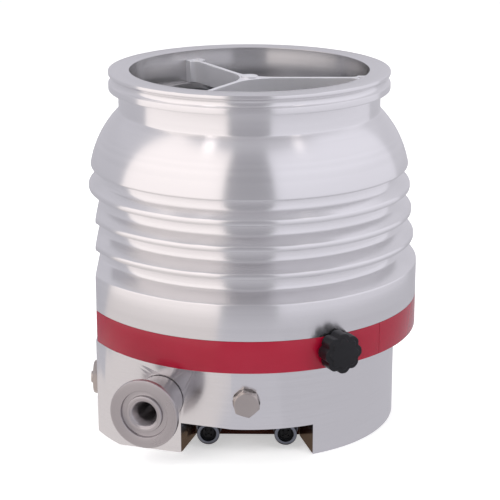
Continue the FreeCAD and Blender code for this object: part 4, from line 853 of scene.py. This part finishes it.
def make_plugs():
    left = outwards(LEFT_AZIMUTH)
    left_seat = BASE_FLAT + 1.0
    head = hex_head(
        "front_plug", 15.2, 94.2, 101.7, FRONT_AZIMUTH, FRONT_PLUG_LEVEL, FRONT_PLUG_TURN, 0.3,
    )
    dress(head, PLUG_METAL, "pump", "sealing_gas_plug")
    head = hex_head("left_plug", 20.6, left_seat, 104.6, LEFT_AZIMUTH, LEFT_PLUG_LEVEL, 0, 0.4)
    boss = turned("left_boss", [
        (0.0, 5.0), (4.0, 5.0), (4.0, 7.6, 0.4), (1.6, 7.6, 0.2), (1.4, 7.2), (0.0, 7.2),
    ], left * left_seat * MM + UP * LEFT_PLUG_LEVEL * MM, left, UP, 48, closed=False)
    dress(joined("left_plug", [head, boss]), PLUG_METAL, "pump", "side_plug")
    washers = []
    for name, azimuth, level, seat, inner, outer in (
        ("front_washer", FRONT_AZIMUTH, FRONT_PLUG_LEVEL, FRONT_SPOTFACE, 4.9, 7.6),
        ("left_washer", LEFT_AZIMUTH, LEFT_PLUG_LEVEL, BASE_FLAT, 6.55, 9.7),
    ):
        out = outwards(azimuth)
        washers.append(turned(name, [
            (inner, 0.0), (outer, 0.0, 0.3), (outer, 1.0, 0.3), (inner, 1.0),
        ], out * seat * MM + UP * level * MM, out, UP, 64))
    dress(joined("washers", washers), PLUG_METAL, "pump", "plug_washers")


def make_sockets():
    """Round sockets: ringed barrels, and inserts with a rim and four contact pins."""
    front = outwards(FRONT_AZIMUTH)
    shells, inserts = [], []
    for name, offset in (("left", -SOCKET_OFFSET), ("right", SOCKET_OFFSET)):
        foot = place(FRONT_AZIMUTH, -BOARD_FACE, offset, SOCKET_LEVEL)
        outline = [(4.9, 0.3), (8.2, 0.3), (8.2, 11.0, 0.5), (SOCKET_BARREL, 11.0)]
        for ring in range(7):
            outline += [(6.75, 12.0 + ring), (SOCKET_BARREL, 12.5 + ring)]
        outline += [(SOCKET_BARREL, 23.0, 0.5), (5.0, 23.0, 0.4), (4.9, 20.0)]
        shells.append(turned(name + "_shell", outline, foot, front, UP, 72))
        inserts.append(turned(name + "_face", [
            (0.0, 19.5), (1.2, 19.5), (1.2, 20.2, 0.2), (3.9, 20.2, 0.3), (4.2, 19.6),
            (4.85, 19.6),
        ], foot, front, UP, 48, closed=False))
        for index in range(4):
            turn = math.pi / 4 + index * math.pi / 2
            shift = sideways(FRONT_AZIMUTH) * math.cos(turn) + UP * math.sin(turn)
            inserts.append(turned(name + "_pin", [
                (0.0, 19.5), (0.5, 19.5), (0.5, 21.9, 0.25), (0.0, 22.1),
            ], foot + shift * 2.3 * MM, front, UP, 16, closed=False))
    rings = joined("socket_rings", shells)
    dress(rings, SOCKET_METAL, "pump", "socket_shells")
    faces = joined("socket_faces", inserts)
    dress(faces, BLACK_PLASTIC, "pump", "socket_inserts")


def make_board():
    """Circuit board at the back of the bay, with rows of solder points and small parts."""
    parts = [block("board", (-BOARD_HALF, BOARD_FACE, 0.6), (BOARD_HALF, -55.4, 19.7))]
    for level in (2.6, 17.4):
        for column in range(22):
            point = Vector((-31.5 + column * 3.0, BOARD_FACE, level)) * MM
            parts.append(rod("pin", 0.55, point, (0, -1, 0), 0.7, 10))
    for x, low, width, height, depth in (
        (-6.5, 4.5, 6.0, 3.0, 1.4), (1.5, 4.0, 4.0, 5.0, 1.1), (8.0, 5.0, 3.0, 2.0, 0.9),
        (-12.0, 12.5, 5.0, 3.0, 1.2), (4.0, 12.0, 7.0, 3.5, 1.5), (-2.0, 13.0, 2.5, 1.5, 0.8),
    ):
        corner = (x + width, -56.9, low + height)
        parts.append(block("chip", (x, BOARD_FACE - depth, low), corner))
    piece = turn_round(joined("circuit_board", parts), FRONT_AZIMUTH)
    soften(piece, 0.12)
    return dress(piece, BOARD, "pump", "electronics_board")


def seen_directly(nodes, links, low, high):
    """The high value for what the camera sees, also in mirrors and glass; else the low one."""
    paths = nodes.new("ShaderNodeLightPath")
    total = paths.outputs["Is Camera Ray"]
    for kind in ("Is Glossy Ray", "Is Transmission Ray"):
        add = nodes.new("ShaderNodeMath")
        add.operation = "MAXIMUM"
        links.new(total, add.inputs[0])
        links.new(paths.outputs[kind], add.inputs[1])
        total = add.outputs["Value"]
    return remap(nodes, links, total, low, high, 0.0, 1.0)


def make_floor():
    deselect()
    bpy.ops.mesh.primitive_plane_add(size=12, location=(0, 0, FLOOR_LEVEL))
    floor = bpy.context.object
    floor.name = "floor"
    material, nodes, links, shader = new_material("pale_floor")
    set_sockets(
        shader, Base_Color=(0.9, 0.9, 0.9, 1), Roughness=0.9, Specular_IOR_Level=0.1,
        Emission_Color=(1, 1, 1, 1),
    )
    links.new(seen_directly(nodes, links, 0.0, FLOOR_GLOW), shader.inputs["Emission Strength"])
    floor.data.materials.append(material)


def make_world():
    """White behind the pump, and a softer fill on it; polished metal sees the cards instead."""
    world = bpy.data.worlds.new("soft_studio")
    bpy.context.scene.world = world
    world.use_nodes = True
    nodes, links = world.node_tree.nodes, world.node_tree.links
    background = nodes["Background"]
    links.new(seen_directly(nodes, links, WORLD_FILL, 1.0), background.inputs["Strength"])
    background.inputs["Color"].default_value = (1, 1, 1, 1)
    world.cycles_visibility.glossy = False


def make_light(name, spot, size, energy):
    """A square lamp that shines at the middle of the pump and shows in no reflection."""
    light = bpy.data.lights.new(name, "AREA")
    light.size = size
    light.energy = energy
    lamp = bpy.data.objects.new(name, light)
    bpy.context.scene.collection.objects.link(lamp)
    lamp.location = spot
    aim = Vector((0, 0, LAMP_AIM)) - Vector(spot)
    lamp.rotation_euler = aim.to_track_quat("-Z", "Y").to_euler()
    lamp.visible_glossy = False


def glow_in_gloss(card, name, brightness, tint):
    """Make a card glow so that only polished surfaces see it."""
    material = bpy.data.materials.new(name)
    material.use_nodes = True
    nodes, links = material.node_tree.nodes, material.node_tree.links
    nodes.remove(nodes["Principled BSDF"])
    glow = nodes.new("ShaderNodeEmission")
    glow.inputs["Color"].default_value = (*tint, 1)
    glow.inputs["Strength"].default_value = brightness
    links.new(glow.outputs["Emission"], nodes["Material Output"].inputs["Surface"])
    card.data.materials.append(material)
    card.visible_camera = False
    card.visible_diffuse = False
    card.visible_shadow = False
    card.visible_transmission = False


def make_card(name, first, last, start, end, brightness, tint):
    """A reflector swept round the pump between two azimuths.

    First and last are (radius, height) in metres.
    """
    side = outwards(start)
    card = draw_line(name, [side * radius + UP * height for radius, height in (first, last)])
    bpy.ops.mesh.select_all(action="SELECT")
    bpy.ops.mesh.spin(
        steps=max(2, round(abs(end - start) / 3)), angle=math.radians(start - end),
        center=(0, 0, 0), axis=(0, 0, 1),
    )
    bpy.ops.object.mode_set(mode="OBJECT")
    glow_in_gloss(card, name, brightness, tint)


def make_surroundings():
    near_edge, far_edge = (NEAR_RADIUS, CARD_LEVEL), (FAR_RADIUS, CARD_LEVEL)
    wall_foot, wall_middle = (WALL_RADIUS, CARD_LEVEL), (WALL_RADIUS, WALL_MIDDLE)
    wall_top = (CEILING_RADIUS, CEILING_LEVEL)
    for name, start, end, tint, near, far, low, high in SURROUNDINGS:
        make_card(name + "_near_floor", near_edge, far_edge, start, end, near, tint)
        make_card(name + "_far_floor", far_edge, wall_foot, start, end, far, tint)
        make_card(name + "_low_wall", wall_foot, wall_middle, start, end, low, tint)
        make_card(name + "_high_wall", wall_middle, wall_top, start, end, high, tint)
    centre, ring = (MM, CEILING_LEVEL), (CEILING_MIDDLE, CEILING_LEVEL)
    # Painted shade: a dark brown card below the pump stands for the shaded floor in reflections
    make_card("shaded_floor_under_pump", (MM, CARD_LEVEL), near_edge, 0.0, 360.0, UNDER_SHADE_GLOW, BROWN)
    make_card("ceiling_middle", centre, ring, 0.0, 360.0, CEILING_MIDDLE_GLOW, COOL)
    make_card("ceiling_edge", ring, wall_top, 0.0, 360.0, CEILING_EDGE_GLOW, COOL)


def make_spot_card(name, azimuth, elevation, radius, brightness):
    """A small round glow that shows only as a highlight on polished metal."""
    angle = math.radians(elevation)
    direction = outwards(azimuth) * math.cos(angle) + UP * math.sin(angle)
    deselect()
    bpy.ops.mesh.primitive_circle_add(
        vertices=32, radius=radius, fill_type="NGON", location=(0, 0, 0),
    )
    card = bpy.context.object
    card.name = name
    card.location = direction * SPOT_DISTANCE + UP * SPOT_AIM
    card.rotation_mode = "QUATERNION"
    card.rotation_quaternion = direction.to_track_quat("Z", "Y")
    glow_in_gloss(card, name, brightness, WARM)


def make_camera():
    camera = bpy.data.cameras.new("camera")
    holder = bpy.data.objects.new("camera", camera)
    bpy.context.scene.collection.objects.link(holder)
    holder.location = (0.0004, -1.046, 0.4223)
    holder.rotation_euler = (math.radians(73.24), 0, 0)
    camera.lens = 119.44
    camera.sensor_width = 36
    bpy.context.scene.camera = holder


dress_nodes()
make_housing()
make_band()
make_port()
make_knob()
make_base()
make_star()
make_hub_cap()
make_screws()
make_plugs()
make_sockets()
make_board()

make_floor()
make_world()
make_surroundings()
make_spot_card("left_spot", -48.4, 60.0, 0.10, 2.4)
make_spot_card("right_spot", 58.2, 57.0, 0.08, 2.0)
make_light("key_light", (-1.2, -1.4, 1.6), 1.2, 16)
make_light("fill_light", (1.4, -1.2, 1.2), 1.2, 10)
make_light("top_light", (0, 0.4, 2.0), 1.6, 16)
make_camera()
bpy.context.scene.view_settings.view_transform = "Standard"
